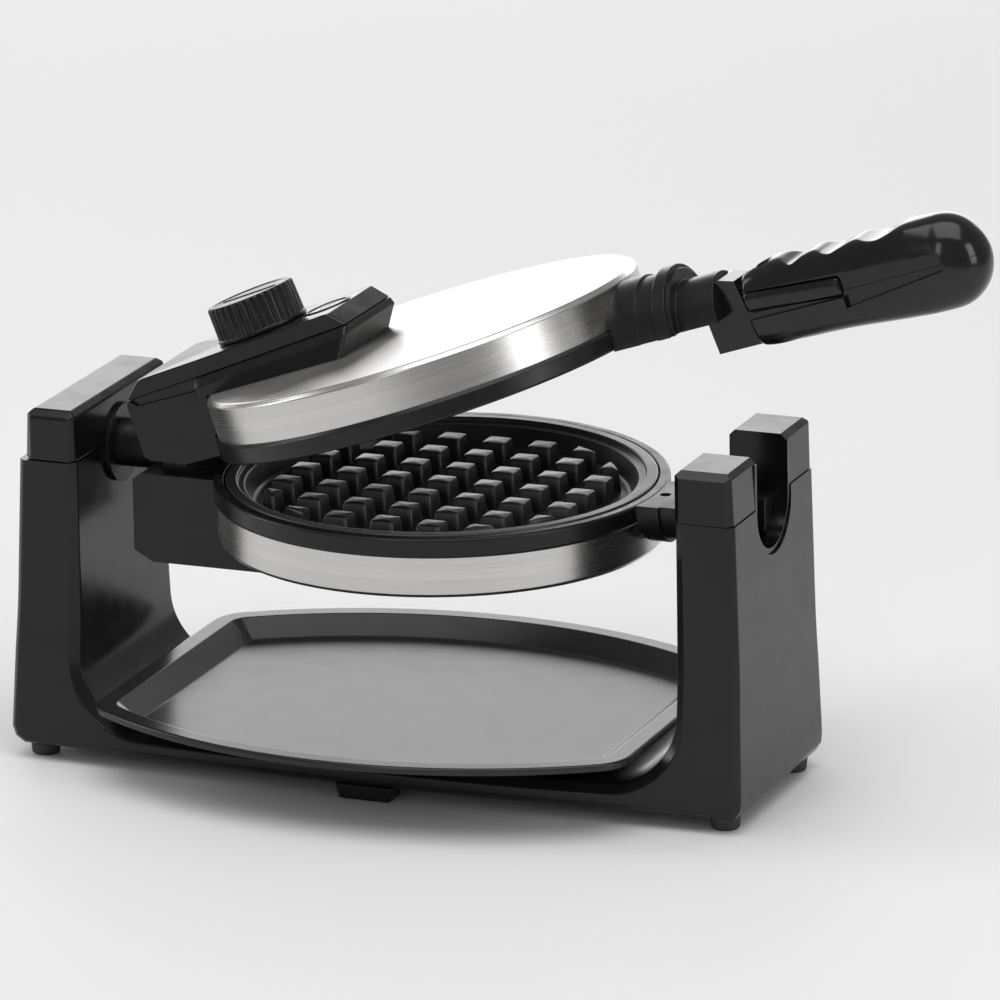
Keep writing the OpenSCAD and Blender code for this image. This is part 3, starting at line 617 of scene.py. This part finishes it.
def build_cradle():
    """The U-shaped base as one skin.

    At each point of the inner path a closed loop runs in the plane of the wall direction and the
    depth. It reaches from the inner face to the outer outline, whose distance is the nearest of the
    outline's sides along that direction. Half the depth is the towers' on the walls and grows on the
    floor to a bulge that falls off with the square of the distance from the middle.
    """
    inner, way = cradle_path()
    low, high = edges("base_shell", 0)
    bottom, top = edges("base_shell", 2)
    depth = edges("left_tower_cap", 1)[1]
    bulge = edges("base_shell", 1)[1] - depth
    cap_left, cap_right = edges("left_tower_cap", 0)[0], edges("right_tower_cap", 0)[1]
    knee, over, lean = 12.0, 20.0, 0.16
    outline = np.array([[cap_left, top + over], [low, knee], [low + 4, bottom], [high - 3, bottom],
                        [high, knee], [cap_right, top + over]])
    outline[0, 0] += (outline[1, 0] - outline[0, 0]) * lean
    side = np.roll(outline, -1, 0) - outline
    normal = np.stack([side[:, 1], -side[:, 0]], -1) / np.linalg.norm(side, axis=1)[:, None]
    normal, level = normal[:-1], (normal * outline).sum(1)[:-1]
    facing = way @ normal.T
    gap = np.where(facing > 1e-3, (level - inner @ normal.T) / np.where(facing > 1e-3, facing, 1), 1e9)
    reach = gap.min(1)
    middle, half = (low + high) / 2, (high - low) / 2
    swell = bulge * 0.86 * (1 - ((inner[:, 0] - middle) / half) ** 2)
    drop = np.clip((inner[:, 1] - BASE_FLOOR) / 60, 0, 1)
    width = depth + swell * (1 - drop * drop * (3 - 2 * drop))
    section = filleted([[0, 50], [0, 3.4], [4.6, 0], [97.4, 0], [100, 2.4], [100, 50]],
                       [0, 1.2, 2.0, 2.2, 1.6, 0], 5)[1:-1]
    far = (section[:, 0] > 50).astype(float)
    along, inset = section[:, 0] - 100 * far, section[:, 1]
    far, along = np.concatenate([far, far[::-1]]), np.concatenate([along, along[::-1]])
    sign = np.concatenate([-np.ones(len(inset)), np.ones(len(inset))])
    inset = np.concatenate([inset, inset[::-1]])
    u = far * reach[:, None] + along
    y = sign * (width[:, None] - inset)
    x = inner[:, :1] + way[:, :1] * u
    z = inner[:, 1:] + way[:, 1:] * u
    shell = stacked("base_cradle", np.stack([x, y, z], -1), angle=24)
    saddle = 22.2
    turn = np.linspace(math.pi, 2 * math.pi, 65)
    ring = np.stack([saddle * np.cos(turn), AXIS + saddle * np.sin(turn)], -1)
    ring = np.concatenate([ring, [[saddle, AXIS + 30], [-saddle, AXIS + 30]]])
    ends = np.array([edges("right_tower_cap", 0)[0] - 3, high + 6])
    shape = (len(ends), len(ring))
    loops = np.stack([np.broadcast_to(values, shape) for values in (ends[:, None], ring[:, 0], ring[:, 1])], -1)
    cut_away(shell, stacked("saddle_cutter", loops))
    smooth(shell, 24)
    return shell


def build_feet():
    """Four rubber feet: a lathe profile with a rounded foot, one at each corner of the base."""
    low, high = edges("rubber_feet", 0)
    back = edges("rubber_feet", 1)[1]
    top = edges("rubber_feet", 2)[1]
    radius = 7.0
    profile = filleted([[0, top], [radius, top], [6.3, 0], [0, 0]], [0, 0.4, 1.0, 0], 5)
    places = [(x, y) for x in (low + radius, high - radius) for y in (radius - back, back - radius)]
    return joined("base_feet", [lathe(f"foot_{k}", profile, place, 48) for k, place in enumerate(places)])


def build_base(sizes):
    settle(build_cradle(), "base", "gloss_black", nodes=["base_shell"])
    settle(softened("left_tower_cap", "left_cap", 0.0014, 4), "base", "gloss_black")
    settle(softened("right_tower_cap", "right_caps", 0.0011, 4), "base", "gloss_black")
    settle(softened("front_foot", "front_block", 0.0008), "base", "satin_black")
    settle(build_feet(), "base", "foot_rubber", nodes=["rubber_feet"])


# ---------- Drip tray ----------


def tray_outline(inset, middle, half, depth, arc, corner):
    """Closed plan of the tray moved inwards by the inset.

    Two long arcs form the front and back, straight sides close the ends, and a small arc that
    touches both rounds each corner. Its middle stays put while its radius shrinks with the inset.
    """
    radius = max(corner - inset, 1.5)
    a, big = half - inset, arc - inset
    cx = a - radius
    cy = math.sqrt((big - radius) ** 2 - cx * cx)
    drop = arc - depth
    phi = math.atan2(cy, cx)
    small = np.linspace(0, phi, 14)
    large = np.linspace(phi, math.pi / 2, 30)[1:]
    x = np.concatenate([cx + radius * np.cos(small), big * np.cos(large)])
    y = np.concatenate([cy - drop + radius * np.sin(small), big * np.sin(large) - drop])
    x = np.concatenate([x, -x[:-1][::-1]])
    y = np.concatenate([y, y[:-1][::-1]])
    x = np.concatenate([x, x[::-1]])
    y = np.concatenate([y, -y[::-1]])
    return np.stack([middle + x, y], -1)


def build_tray(sizes):
    """The drip tray: its plan carried along a profile of insets and heights, and two ribs under it.

    From the middle of the floor the profile runs out, up the sloping wall, over the flat lip, round
    its rolled edge and back underneath.
    """
    low, high = edges("drip_tray", 0)
    depth = edges("drip_tray", 1)[1]
    top = edges("drip_tray", 2)[1]
    floor, sheet, rolled = top - 8.0, 1.6, 3.2
    plan = dict(middle=(low + high) / 2, half=(high - low) / 2, depth=depth, arc=218.0, corner=20.0)
    profile = filleted([[24, floor], [19.5, floor], [9.2, top], [0, top], [0, top - rolled],
                        [1.4, top - rolled], [1.4, top - 1.5], [9.6, top - sheet], [20.5, floor - sheet],
                        [24, floor - sheet]],
                       [0, 2.2, 1.6, 1.3, 0.5, 0.5, 0.6, 1.2, 2, 0], 6)
    loops = [at_height(tray_outline(inset, **plan), height) for inset, height in profile]
    tray = stacked("drip_tray_dish", loops, angle=50)
    base = edges("drip_tray", 2)[0]
    loop = rounded_loop([[-2, -60], [2, -60], [2, 60], [-2, 60]], 1.6)
    levels = [(0.5, base), (0, base + 0.5), (0, floor - 1.2)]
    ribs = []
    for x in (plan["middle"] - 70.0, plan["middle"] + 70.0):
        ribs.append(stacked("tray_rib", [at_height(loop * [1 - cut / 2, 1] + [x, 0], z) for cut, z in levels]))
    settle(joined("drip_tray_body", [tray] + ribs), "tray", "tray_black", nodes=["drip_tray"])


# ---------- Baking head ----------


def build_shells(sizes):
    """Steel dishes: a lathe profile with a rounded outer edge and a thin wall.

    The faces of the lid's flat top, whose normals point along the lid's own upward direction, take a
    second finish with its brushing across the top.
    """
    radius, bottom, top, sheet = BAND + 0.15, BAND_BOTTOM, BAND_TOP, 1.0
    outer = filleted([[0, bottom], [radius - 2.0, bottom], [radius, bottom + 2.0], [radius, top]],
                     [0, 1.6, 1.6, 0], 8)
    inner = filleted([[radius - sheet, top], [radius - sheet, bottom + 4.4], [radius - 4, bottom + sheet + 0.4],
                      [0, bottom + sheet]], [0, 3, 2, 0], 6)
    profile = np.concatenate([outer, inner])
    settle(lathe("lower_band", profile, steps=LATHE_STEPS), "head", "brushed_steel", nodes=["lower_shell"])
    lid = lathe("lid_band", profile, steps=LATHE_STEPS, lid=True, place=mirrored_up)
    settle(lid, "lid", "brushed_steel", nodes=["lid_shell"])
    lid.data.materials.append(finishes["brushed_top"])
    up = np.array([-math.sin(LID_OPEN), 0.0, math.cos(LID_OPEN)])
    normals = np.empty(len(lid.data.polygons) * 3, np.float32)
    lid.data.polygons.foreach_get("normal", normals)
    facing_up = 0.93
    flat = (normals.reshape(-1, 3) @ up > facing_up).astype(np.int32)
    lid.data.polygons.foreach_set("material_index", flat)


def build_rings(sizes):
    """Black rings between steel and mouth: a flat outer face with a bevelled foot and a rounded mouth."""
    top, bottom, inner, foot = MOUTH - 0.4, BAND_TOP + 0.05, RING - 4.8, RING - 8.4
    profile = filleted([[inner, top - 4], [inner, top], [RING, top], [RING, bottom + 1.4], [RING - 1.2, bottom],
                        [foot, bottom], [foot, top - 4.2], [inner, top - 4.2]],
                       [0, 0.7, 1.3, 0.9, 0.4, 0.3, 0.3, 0], 6)[1:]
    settle(lathe("lower_black_ring", profile, steps=LATHE_STEPS), "head", "satin_black", nodes=["lower_ring"])
    ring = lathe("lid_black_ring", profile, steps=LATHE_STEPS, lid=True, place=mirrored_up)
    settle(ring, "lid", "satin_black", nodes=["lid_ring"])


def stud(x, y, size, height, floor, reach):
    """One tapered stud: rounded squares that shrink upwards, held inside the round pocket."""
    levels = [(1.0, -0.5), (0.985, 0.6), (0.86, height - 1.1), (0.80, height - 0.25), (0.70, height)]
    half = size / 2
    loop = rounded_loop([[-half, -half], [half, -half], [half, half], [-half, half]], 1.8, 4)
    rows = []
    for share, rise in levels:
        plan = loop * share + [x, y]
        far = np.linalg.norm(plan, axis=1, keepdims=True)
        limit = reach - (1 - share) * half
        rows.append(at_height(plan * np.minimum(1, limit / far), floor + rise))
    return rows


def build_grid(name, body, node, lid):
    """A grid plate: a lathed dish with a stepped rim, and its studs."""
    mouth, floor = MOUTH, MOUTH - 12.0
    dish = filleted([[0, floor - 2.5], [PLATE - 9, floor - 2.5], [PLATE - 4, mouth - 4], [PLATE, mouth - 4],
                     [PLATE, mouth], [PLATE - 5, mouth], [PLATE - 5.6, mouth - 2.2], [PLATE - 8.6, mouth - 2.6],
                     [PLATE - 12, floor], [0, floor]], [0, 1, 1, 0.4, 0.8, 0.8, 0.5, 1.0, 2.4, 0], 6)
    parts = [lathe("dish", dish, steps=240, lid=lid, place=mirrored_up if lid else None)]
    pitch, size, tall, reach, count = 22.0, 13.0, 9.5, PLATE - 16.2, 4
    for i in range(-count, count + 1):
        for j in range(-count, count + 1):
            if math.hypot(i * pitch, j * pitch) < reach + size / 3:
                rows = np.array(stud(i * pitch, j * pitch, size, tall, floor, reach))
                parts.append(stacked("stud", mirrored_up(rows) if lid else rows, lid))
    plate = joined(name, parts)
    smooth(plate, 40)
    settle(plate, body, "nonstick", nodes=[node])


def build_grids(sizes):
    build_grid("lower_grid", "head", "lower_grid_plate", False)
    build_grid("lid_grid", "lid", "upper_grid_plate", True)


def build_blocks(sizes):
    settle(softened("lower_hinge_block", "lower_hinge_body", 0.0009), "head", "satin_black")
    settle(softened("upper_hinge_block", "upper_hinge_body", 0.0009), "lid", "satin_black")
    settle(softened("lower_neck", "lower_neck_body", 0.0005), "head", "satin_black")
    settle(softened("upper_neck", "upper_neck_body", 0.0006), "lid", "satin_black")
    settle(softened("handle_arm", "handle_arm_body", 0.0007), "lid", "grip_black")


# ---------- Controls on the lid ----------


def cover_corners(grow, start, tip=-22.0):
    """Plan of the control cover along its slope, anticlockwise from its near hinge corner."""
    begin, wide, tip = start - KNOB_X, -RING + 6.0 - KNOB_X, tip - KNOB_X
    half, half_tip = 33 + grow, 25.5 + grow
    return [[begin, -half], [wide, -half], [tip, -half_tip], [tip, half_tip], [wide, half], [begin, half]]


def build_cover(sizes):
    """The cover: its plan stacked in levels square to its sloping top.

    The long sides stand straight. The tip and the hinge end are drawn in by wide chamfers. Each level
    gives the inset of the sides, the tip and the hinge end, and the height above the top. Under the
    hinge end a narrow skirt fills the step down to the hinge block. The tier round the foot is a
    wider plan stacked from the lid's top, flat below and along the slope above.
    """
    corners = cover_corners(0, HINGE_X - 15.0)
    rows = []
    levels = [(0.4, 0.4, 0.4, -7.5), (0, 0, 0, -7.1), (0, 0, 0, -6.9), (0, 0.2, 0.2, -6.7), (0, 6.0, 7.4, -0.6),
              (0.15, 6.4, 7.8, -0.25), (0.7, 7.2, 8.6, 0)]
    for side, tip, hinge, w in levels:
        plan = rounded_loop(inset_corners(corners, [side, side, tip, side, side, hinge]), 1.6, 5)
        rows.append(on_cover(at_height(plan, w)))
    settle(stacked("control_housing", rows, True, angle=22), "lid", "gloss_black", nodes=["control_cover"])
    near, far, half = HINGE_X - 13.6, -RING + 6.6, 32.6
    skirt = rounded_loop([[near, -half], [far, -half], [far, half], [near, half]], 1.2, 4)
    high = on_cover(at_height(skirt - [KNOB_X, 0], -7.6))
    low = at_height(skirt + [[3.4, 0]] * (skirt[:, :1] < -RING - 10), LID_TOP + 3.1)
    settle(stacked("control_skirt", [low, high], True), "lid", "satin_black")
    start = -RING + 3.0
    foot = rounded_loop(np.array(cover_corners(3.6, start, -28.0)) + [KNOB_X, 0], 2.0, 5)
    rows = [at_height(foot, LID_TOP + 0.06)]
    for grow, tip, w in [(4.0, -22.6, -11.6), (3.7, -22.2, -11.1), (0.6, -21.6, -7.9), (0.2, -22.0, -7.65)]:
        plan = rounded_loop(cover_corners(grow, start, tip), 2.0, 5)
        rows.append(on_cover(at_height(plan, w)))
    tier = stacked("control_tier", rows, True, angle=20)
    settle(tier, "lid", "gloss_black", nodes=["cover_flange"])


def build_window(sizes):
    """The round window over the lamps, in a raised bezel, with the two domed lamps under it."""
    centre = (WINDOW_ALONG, 0)
    bezel = filleted([[9.4, -0.4], [9.4, 0.7], [10.9, 0.7], [11.4, -0.4]], [0, 0.4, 0.4, 0], 5)
    settle(lathe("window_bezel", bezel, centre, 96, True, on_cover), "lid", "satin_black")
    pane = filleted([[0, -0.1], [9.35, -0.1], [9.35, 0.3], [5, 0.55], [0, 0.6]], [0, 0.1, 0.25, 5, 0], 6)
    settle(lathe("window_pane", pane, centre, 96, True, on_cover), "lid", "window", nodes=["lamp_window"])
    dome = filleted([[0, -4.6], [2.2, -4.6], [2.2, -1.9], [0, -1.2]], [0, 0.2, 1.2, 0], 6)
    lamps = [lathe(f"lamp_{k}", dome, (WINDOW_ALONG, y), 32, True, on_cover) for k, y in enumerate((-6.0, 6.0))]
    settle(joined("lamp_domes", lamps), "lid", "lamp", nodes=["indicator_lamps"])


def build_knob(sizes):
    """The browning knob: a lathe profile whose side radius dips in a row of rounded grooves.

    On the side rows the radius loses a depth times the fourth power of the cosine of half the rib
    count times the angle. The top is a shallow dish inside a chamfer, with a raised pointer.
    """
    base, top, radius, ribs = 0.35, 17.2, 21.0, sizes.knob_ribs
    profile = filleted([[0, base], [radius, base], [radius, base + 1.4], [radius - 0.5, base + 1.9],
                        [radius - 0.7, top - 1.0], [radius - 1.7, top], [radius - 3.2, top],
                        [radius - 4.0, top - 0.45], [0, top - 0.5]],
                       [0, 0.4, 0.3, 0.3, 0.5, 0.5, 0.3, 0.4, 0], 5)
    share = np.clip((profile[:, 1] - base - 1.8) / 0.6, 0, 1) * np.clip((top - 0.2 - profile[:, 1]) / 0.7, 0, 1)
    share = share * (profile[:, 0] > radius - 3)

    groove_depth = 1.25

    def grooves(rows, turn):
        return rows[:, :1] - groove_depth * share[:, None] * np.cos(ribs / 2 * turn) ** 4

    body = lathe("knob_body", profile, (0, 0), 14 * ribs, True, on_cover, grooves, angle=55)
    loop = rounded_loop([[-14, -1.1], [14, -1.1], [14, 1.1], [-14, 1.1]], 1.0, 5)
    rows = [on_cover(at_height(loop * [1 - cut * 0.05, 1 - cut * 0.5], w))
            for cut, w in [(0, top - 0.8), (0, top - 0.3), (0.4, top - 0.1), (0.9, top)]]
    pointer = stacked("knob_pointer", rows, True)
    knob = joined("browning_dial_knob", [body, pointer])
    smooth(knob, 50)
    settle(knob, "knob", "satin_black", nodes=["browning_knob"])


# ---------- Handle ----------


# Curves of the grip as pairs of a distance from the head's centre and a height.
GRIP_CROWN = ((160, 153.8), (166, 155.6), (172, 156.4), (190, 156.6), (215, 156.8), (240, 157.2), (251, 156.9))
GRIP_DIPS = ((160, 158), (176, 157.6), (179, 156.0), (184.6, 153.0), (190.5, 155.2), (196, 155.9),
             (199.5, 154.3), (203.5, 153.3), (209, 154.6), (216, 156.0), (220, 154.8), (225.7, 153.9),
             (232.5, 155.2), (240, 158), (251, 159))
GRIP_LOW = ((160, 119.8), (165, 118.9), (180, 118.6), (200, 118.0), (230, 115.6), (245, 114.6), (251, 114.4))


def smooth_curve(knots, x):
    """Piecewise cubic through the knots, with each knot's slope taken from its neighbours."""
    knots = np.array(knots, float)
    kx, ky = knots[:, 0], knots[:, 1]
    slope = np.gradient(ky, kx)
    k = np.clip(np.searchsorted(kx, x) - 1, 0, len(kx) - 2)
    h = kx[k + 1] - kx[k]
    t = np.clip((x - kx[k]) / h, 0, 1)
    return ((2 * t**3 - 3 * t**2 + 1) * ky[k] + (t**3 - 2 * t**2 + t) * h * slope[k]
            + (-2 * t**3 + 3 * t**2) * ky[k + 1] + (t**3 - t**2) * h * slope[k + 1])


def grip_half(name, upper, part_z):
    """One half of the handle, above or below its parting line.

    Each section is a superellipse of power 3 between the crown and the bottom curve, cut level at
    the parting line. The finger dips lower its top: a soft minimum of its height and the dip curve.
    Past the last knot both curves and the width close like a round ball. A channel is cut into each
    side by two prisms.
    """
    start, ball, end_reach, middle_z = 160.0, 251.0, 20.0, 135.4
    round_end = ball + end_reach * np.sin(np.linspace(0, math.pi / 2, 26))[1:]
    x = np.concatenate([np.linspace(start, ball, 150), round_end])
    close = np.sqrt(np.clip(1 - ((x - ball) / end_reach) ** 2, 0, 1)) * (x > ball) + (x <= ball)
    close = np.maximum(close, 0.02)
    top = middle_z + (smooth_curve(GRIP_CROWN, np.minimum(x, ball)) - middle_z) * close
    low = middle_z + (smooth_curve(GRIP_LOW, np.minimum(x, ball)) - middle_z) * close
    wide = (15.6 + 1.4 * np.clip((x - start) / 80, 0, 1)) * close**0.9
    round_in = np.clip((x - start) / 2.0, 0, 1)
    ease = 1.2 * (1 - np.sqrt(np.clip(1 - (1 - round_in) ** 2, 0, 1)))
    top, low, wide = top - ease, low + ease, wide - ease
    mid, tall = (top + low) / 2, (top - low) / 2
    power = np.where(x < 240, 3.0, np.maximum(2.2, 3.0 - (x - 240) / 15))
    sign = 1.0 if upper else -1.0
    cut = np.clip(sign * (part_z + sign * 0.12 - mid) / tall, -0.95, 0.95)
    first = np.arcsin(np.sign(cut) * np.abs(cut) ** (power / 2))
    s = np.linspace(0, 1, 110)
    angle = first[:, None] + (math.pi - 2 * first[:, None]) * s
    c, sn = np.cos(angle), np.sin(angle)
    p = (2 / power)[:, None]
    y = wide[:, None] * np.sign(c) * np.abs(c) ** p
    z = mid[:, None] + sign * tall[:, None] * np.sign(sn) * np.abs(sn) ** p
    xx = np.broadcast_to(x[:, None], y.shape)
    dips = smooth_curve(GRIP_DIPS, np.minimum(x, ball))[:, None]
    z = np.where(z > middle_z, (z + dips) / 2 - np.sqrt(((z - dips) / 2) ** 2 + 0.06), z)
    if not upper:
        y = y[:, ::-1]
        z = z[:, ::-1]
    half = stacked(name, np.stack([xx, y, z], -1), True, angle=38)
    cut_away(half, fork_cutter())
    for side in (-1.0, 1.0):
        cut_away(half, channel_cutter(side, 150.0, 206.5, (133.6, 133.6), (147.3, 144.6)))
        cut_away(half, channel_cutter(side, 206.0, 254.5, (128.6, 134.1), (144.6, 142.3)))
    smooth(half, 38)
    return half


def fork_cutter():
    """The space for the arm's tongue: a disc about the pivot with room above and towards the head."""
    px, pz, radius, half = 168.0, AXIS - 8.5, 14, 8.4
    turn = np.linspace(-math.pi / 2, math.pi / 3, 40)
    ring = np.stack([px + radius * np.cos(turn), pz + radius * np.sin(turn)], -1)
    outline = np.concatenate([ring, [[px + 3, pz + 60], [px - 40, pz + 60], [px - 40, pz - radius]]])
    return stacked("fork_cutter", upright_loops(outline, (-half, half)), True)


def upright_loops(outline, ys):
    """An outline in x and z, repeated at each y."""
    return np.stack([np.column_stack([outline[:, 0], np.full(len(outline), y), outline[:, 1]]) for y in ys])


def channel_cutter(side, start, end, low, high):
    """One stretch of a side channel: a four-cornered prism that reaches in from outside the grip."""
    outline = np.array([[start, low[0]], [end, low[1]], [end, high[1]], [start, high[0]]])
    return stacked("channel_cutter", upright_loops(outline, (side * 13.4, side * 24.0)), True)


def side_bars():
    """The bar in each side channel: sections between an ellipse and a box that follow a straight line."""
    x = np.array([160.5, 161.2, 162.0, 204.0, 204.9, 205.4])
    size = np.array([0.86, 0.96, 1.0, 1.0, 0.96, 0.84])
    turn = np.linspace(0, 2 * math.pi, 49)[:-1]
    c, s = np.cos(turn), np.sin(turn)
    middle_y, half_y, half_z, fall = 12.6, 3.3, 4.8, 0.069
    bars = []
    for side in (-1.0, 1.0):
        y = side * middle_y + half_y * size[:, None] * np.sign(c) * np.abs(c) ** 0.75
        z = (142.1 - fall * (x - 154))[:, None] + half_z * size[:, None] * np.sign(s) * np.abs(s) ** 0.8
        xx = np.broadcast_to(x[:, None], y.shape)
        bars.append(stacked("side_bar", np.stack([xx, y, z], -1), True, angle=35))
    return joined("grip_side_bars", bars)


def build_handle(sizes):
    part_z = AXIS - 0.2
    settle(grip_half("grip_upper", True, part_z), "grip", "grip_black", nodes=["grip_top"])
    settle(grip_half("grip_lower", False, part_z), "grip", "grip_black", nodes=["grip_bottom"])
    settle(side_bars(), "grip", "grip_black")


def build_kept_nodes(sizes):
    """Gives each solid-model node that keeps its shape the finish its record slot names."""
    for part in frame["record"]["subparts"]:
        give(frame["nodes"][part["node"]], finishes[part["material_slot"]])


# ---------- Studio ----------


def direction(azimuth, elevation):
    """Unit vector towards a place that is azimuth round from the front and elevation up, in degrees."""
    a, e = math.radians(azimuth), math.radians(elevation)
    return Vector((math.sin(a) * math.cos(e), -math.cos(a) * math.cos(e), math.sin(e)))


def soft_box(name, azimuth, elevation, reach, width, height, radiance):
    """A rectangular light aimed at the object; its power is the radiance times its area times pi."""
    light = bpy.data.lights.new(name, "AREA")
    light.shape = "RECTANGLE"
    light.size = width
    light.size_y = height
    light.energy = radiance * width * height * math.pi
    lamp = bpy.data.objects.new(name, light)
    bpy.context.scene.collection.objects.link(lamp)
    away = direction(azimuth, elevation)
    lamp.location = Vector((0, 0, 0.12)) + away * reach
    lamp.rotation_euler = (-away).to_track_quat("-Z", "Y").to_euler()


def build_stage(sizes):
    """The pale floor, the soft lights and the camera."""
    paint = Paint("Studio floor")
    paint.set(Base_Color=(0.90, 0.90, 0.90), Roughness=0.7)
    half = 6000.0
    x, y = np.meshgrid([-half, half], [-half, half], indexing="ij")
    floor = surface("studio_floor", world(np.stack([x, y, np.full((2, 2), -0.2)], -1)))
    give(floor, paint.material)
    sky = bpy.data.worlds.new("Studio")
    sky.use_nodes = True
    background = sky.node_tree.nodes["Background"]
    background.inputs["Color"].default_value = (1, 1, 1, 1)
    background.inputs["Strength"].default_value = 0.28
    bpy.context.scene.world = sky
    soft_box("Top box", 20, 78, 2.6, 2.6, 2.6, 2.1)
    soft_box("Back box", 204, 8, 3.3, 4.6, 1.7, 2.3)
    soft_box("Right box", 74, 20, 2.2, 0.7, 1.2, 3.2)
    soft_box("Left box", -78, 20, 2.2, 0.7, 1.2, 3.2)
    soft_box("Front strip", -6, 24, 2.4, 0.36, 1.0, 3.0)
    bpy.context.scene.view_settings.view_transform = "Standard"
    lens = bpy.data.cameras.new("Camera")
    lens.sensor_width = 36.0
    lens.lens = 312.76
    lens.clip_end = 50.0
    eye = bpy.data.objects.new("Camera", lens)
    bpy.context.scene.collection.objects.link(eye)
    back, roll = direction(22.07, 16.42), math.radians(-0.95)
    target, distance = Vector((-0.01495, 0.02048, 0.11964)), 3.886
    eye.location = target + back * distance
    aim = (-back).to_track_quat("-Z", "Y").to_matrix()
    eye.rotation_euler = (aim @ Matrix.Rotation(roll, 3, "Z")).to_euler()
    bpy.context.scene.camera = eye


# ---------- Add-on ----------


class WaffleSizes(bpy.types.PropertyGroup):
    """Sizes a user may change."""

    knob_ribs: IntProperty(name="Knob ribs", description="Number of grooves round the browning knob",
                           default=34, min=12, max=60)


class WaffleColours(bpy.types.PropertyGroup):
    """Colours a user may change."""

    plastic: FloatVectorProperty(name="Black plastic", description="Colour of the mouldings", subtype="COLOR",
                                 default=(0.0045, 0.0042, 0.0041), min=0.0, max=1.0)
    tray: FloatVectorProperty(name="Drip tray", description="Colour of the polished tray", subtype="COLOR",
                              default=(0.016, 0.0155, 0.015), min=0.0, max=1.0)
    steel: FloatVectorProperty(name="Steel", description="Colour of the brushed steel", subtype="COLOR",
                               default=(0.66, 0.65, 0.635), min=0.0, max=1.0)
    coating: FloatVectorProperty(name="Non-stick coating", description="Colour of the grids", subtype="COLOR",
                                 default=(0.05, 0.049, 0.048), min=0.0, max=1.0)


class BuildStep(bpy.types.Operator):
    """Builds one group of pieces"""

    bl_options = {"REGISTER", "UNDO"}
    build = None

    def execute(self, context):
        if not finishes:
            make_finishes(context.scene.waffle_colours)
        type(self).build(context.scene.waffle_sizes)
        return {"FINISHED"}


class BuildKept(BuildStep):
    """Gives the kept solid-model nodes their finishes"""

    bl_idname = "waffle.kept_nodes"
    bl_label = "Finish kept nodes"
    build = staticmethod(build_kept_nodes)


class BuildBase(BuildStep):
    """Builds the cradle, the tower caps and the feet"""

    bl_idname = "waffle.base"
    bl_label = "Base"
    build = staticmethod(build_base)


class BuildTray(BuildStep):
    """Builds the drip tray"""

    bl_idname = "waffle.tray"
    bl_label = "Drip tray"
    build = staticmethod(build_tray)


class BuildShells(BuildStep):
    """Builds the two brushed steel shells"""

    bl_idname = "waffle.shells"
    bl_label = "Steel shells"
    build = staticmethod(build_shells)


class BuildRings(BuildStep):
    """Builds the two black rings"""

    bl_idname = "waffle.rings"
    bl_label = "Black rings"
    build = staticmethod(build_rings)


class BuildGrids(BuildStep):
    """Builds the two grid plates"""

    bl_idname = "waffle.grids"
    bl_label = "Grid plates"
    build = staticmethod(build_grids)


class BuildBlocks(BuildStep):
    """Builds the hinge blocks, the necks and the handle's arm"""

    bl_idname = "waffle.blocks"
    bl_label = "Hinge blocks and necks"
    build = staticmethod(build_blocks)


class BuildCover(BuildStep):
    """Builds the control cover and its tier"""

    bl_idname = "waffle.cover"
    bl_label = "Control cover"
    build = staticmethod(build_cover)


class BuildWindow(BuildStep):
    """Builds the lamp window and the lamps"""

    bl_idname = "waffle.window"
    bl_label = "Lamp window"
    build = staticmethod(build_window)


class BuildKnob(BuildStep):
    """Builds the browning knob"""

    bl_idname = "waffle.knob"
    bl_label = "Browning knob"
    build = staticmethod(build_knob)


class BuildHandle(BuildStep):
    """Builds the folding handle"""

    bl_idname = "waffle.handle"
    bl_label = "Handle"
    build = staticmethod(build_handle)


class BuildStage(BuildStep):
    """Builds the floor, the lights and the camera"""

    bl_idname = "waffle.stage"
    bl_label = "Studio"
    build = staticmethod(build_stage)


STEPS = (BuildKept, BuildBase, BuildTray, BuildShells, BuildRings, BuildGrids, BuildBlocks, BuildCover,
         BuildWindow, BuildKnob, BuildHandle, BuildStage)


class WafflePanel(bpy.types.Panel):
    """Lists the sizes, the colours and the steps"""

    bl_idname = "VIEW3D_PT_waffle"
    bl_label = "Waffle maker"
    bl_space_type = "VIEW_3D"
    bl_region_type = "UI"
    bl_category = "Waffle maker"

    def draw(self, context):
        column = self.layout.column()
        column.prop(context.scene.waffle_sizes, "knob_ribs")
        for colour in ("plastic", "tray", "steel", "coating"):
            column.prop(context.scene.waffle_colours, colour)
        for step in STEPS:
            column.operator(step.bl_idname)


CLASSES = (WaffleSizes, WaffleColours) + STEPS + (WafflePanel,)


def register():
    for item in CLASSES:
        bpy.utils.register_class(item)
    bpy.types.Scene.waffle_sizes = PointerProperty(type=WaffleSizes)
    bpy.types.Scene.waffle_colours = PointerProperty(type=WaffleColours)


def unregister():
    del bpy.types.Scene.waffle_colours
    del bpy.types.Scene.waffle_sizes
    for item in reversed(CLASSES):
        bpy.utils.unregister_class(item)


def main():
    register()
    for step in STEPS:
        group, name = step.bl_idname.split(".")
        getattr(getattr(bpy.ops, group), name)()


if __name__ == "__main__":
    main()
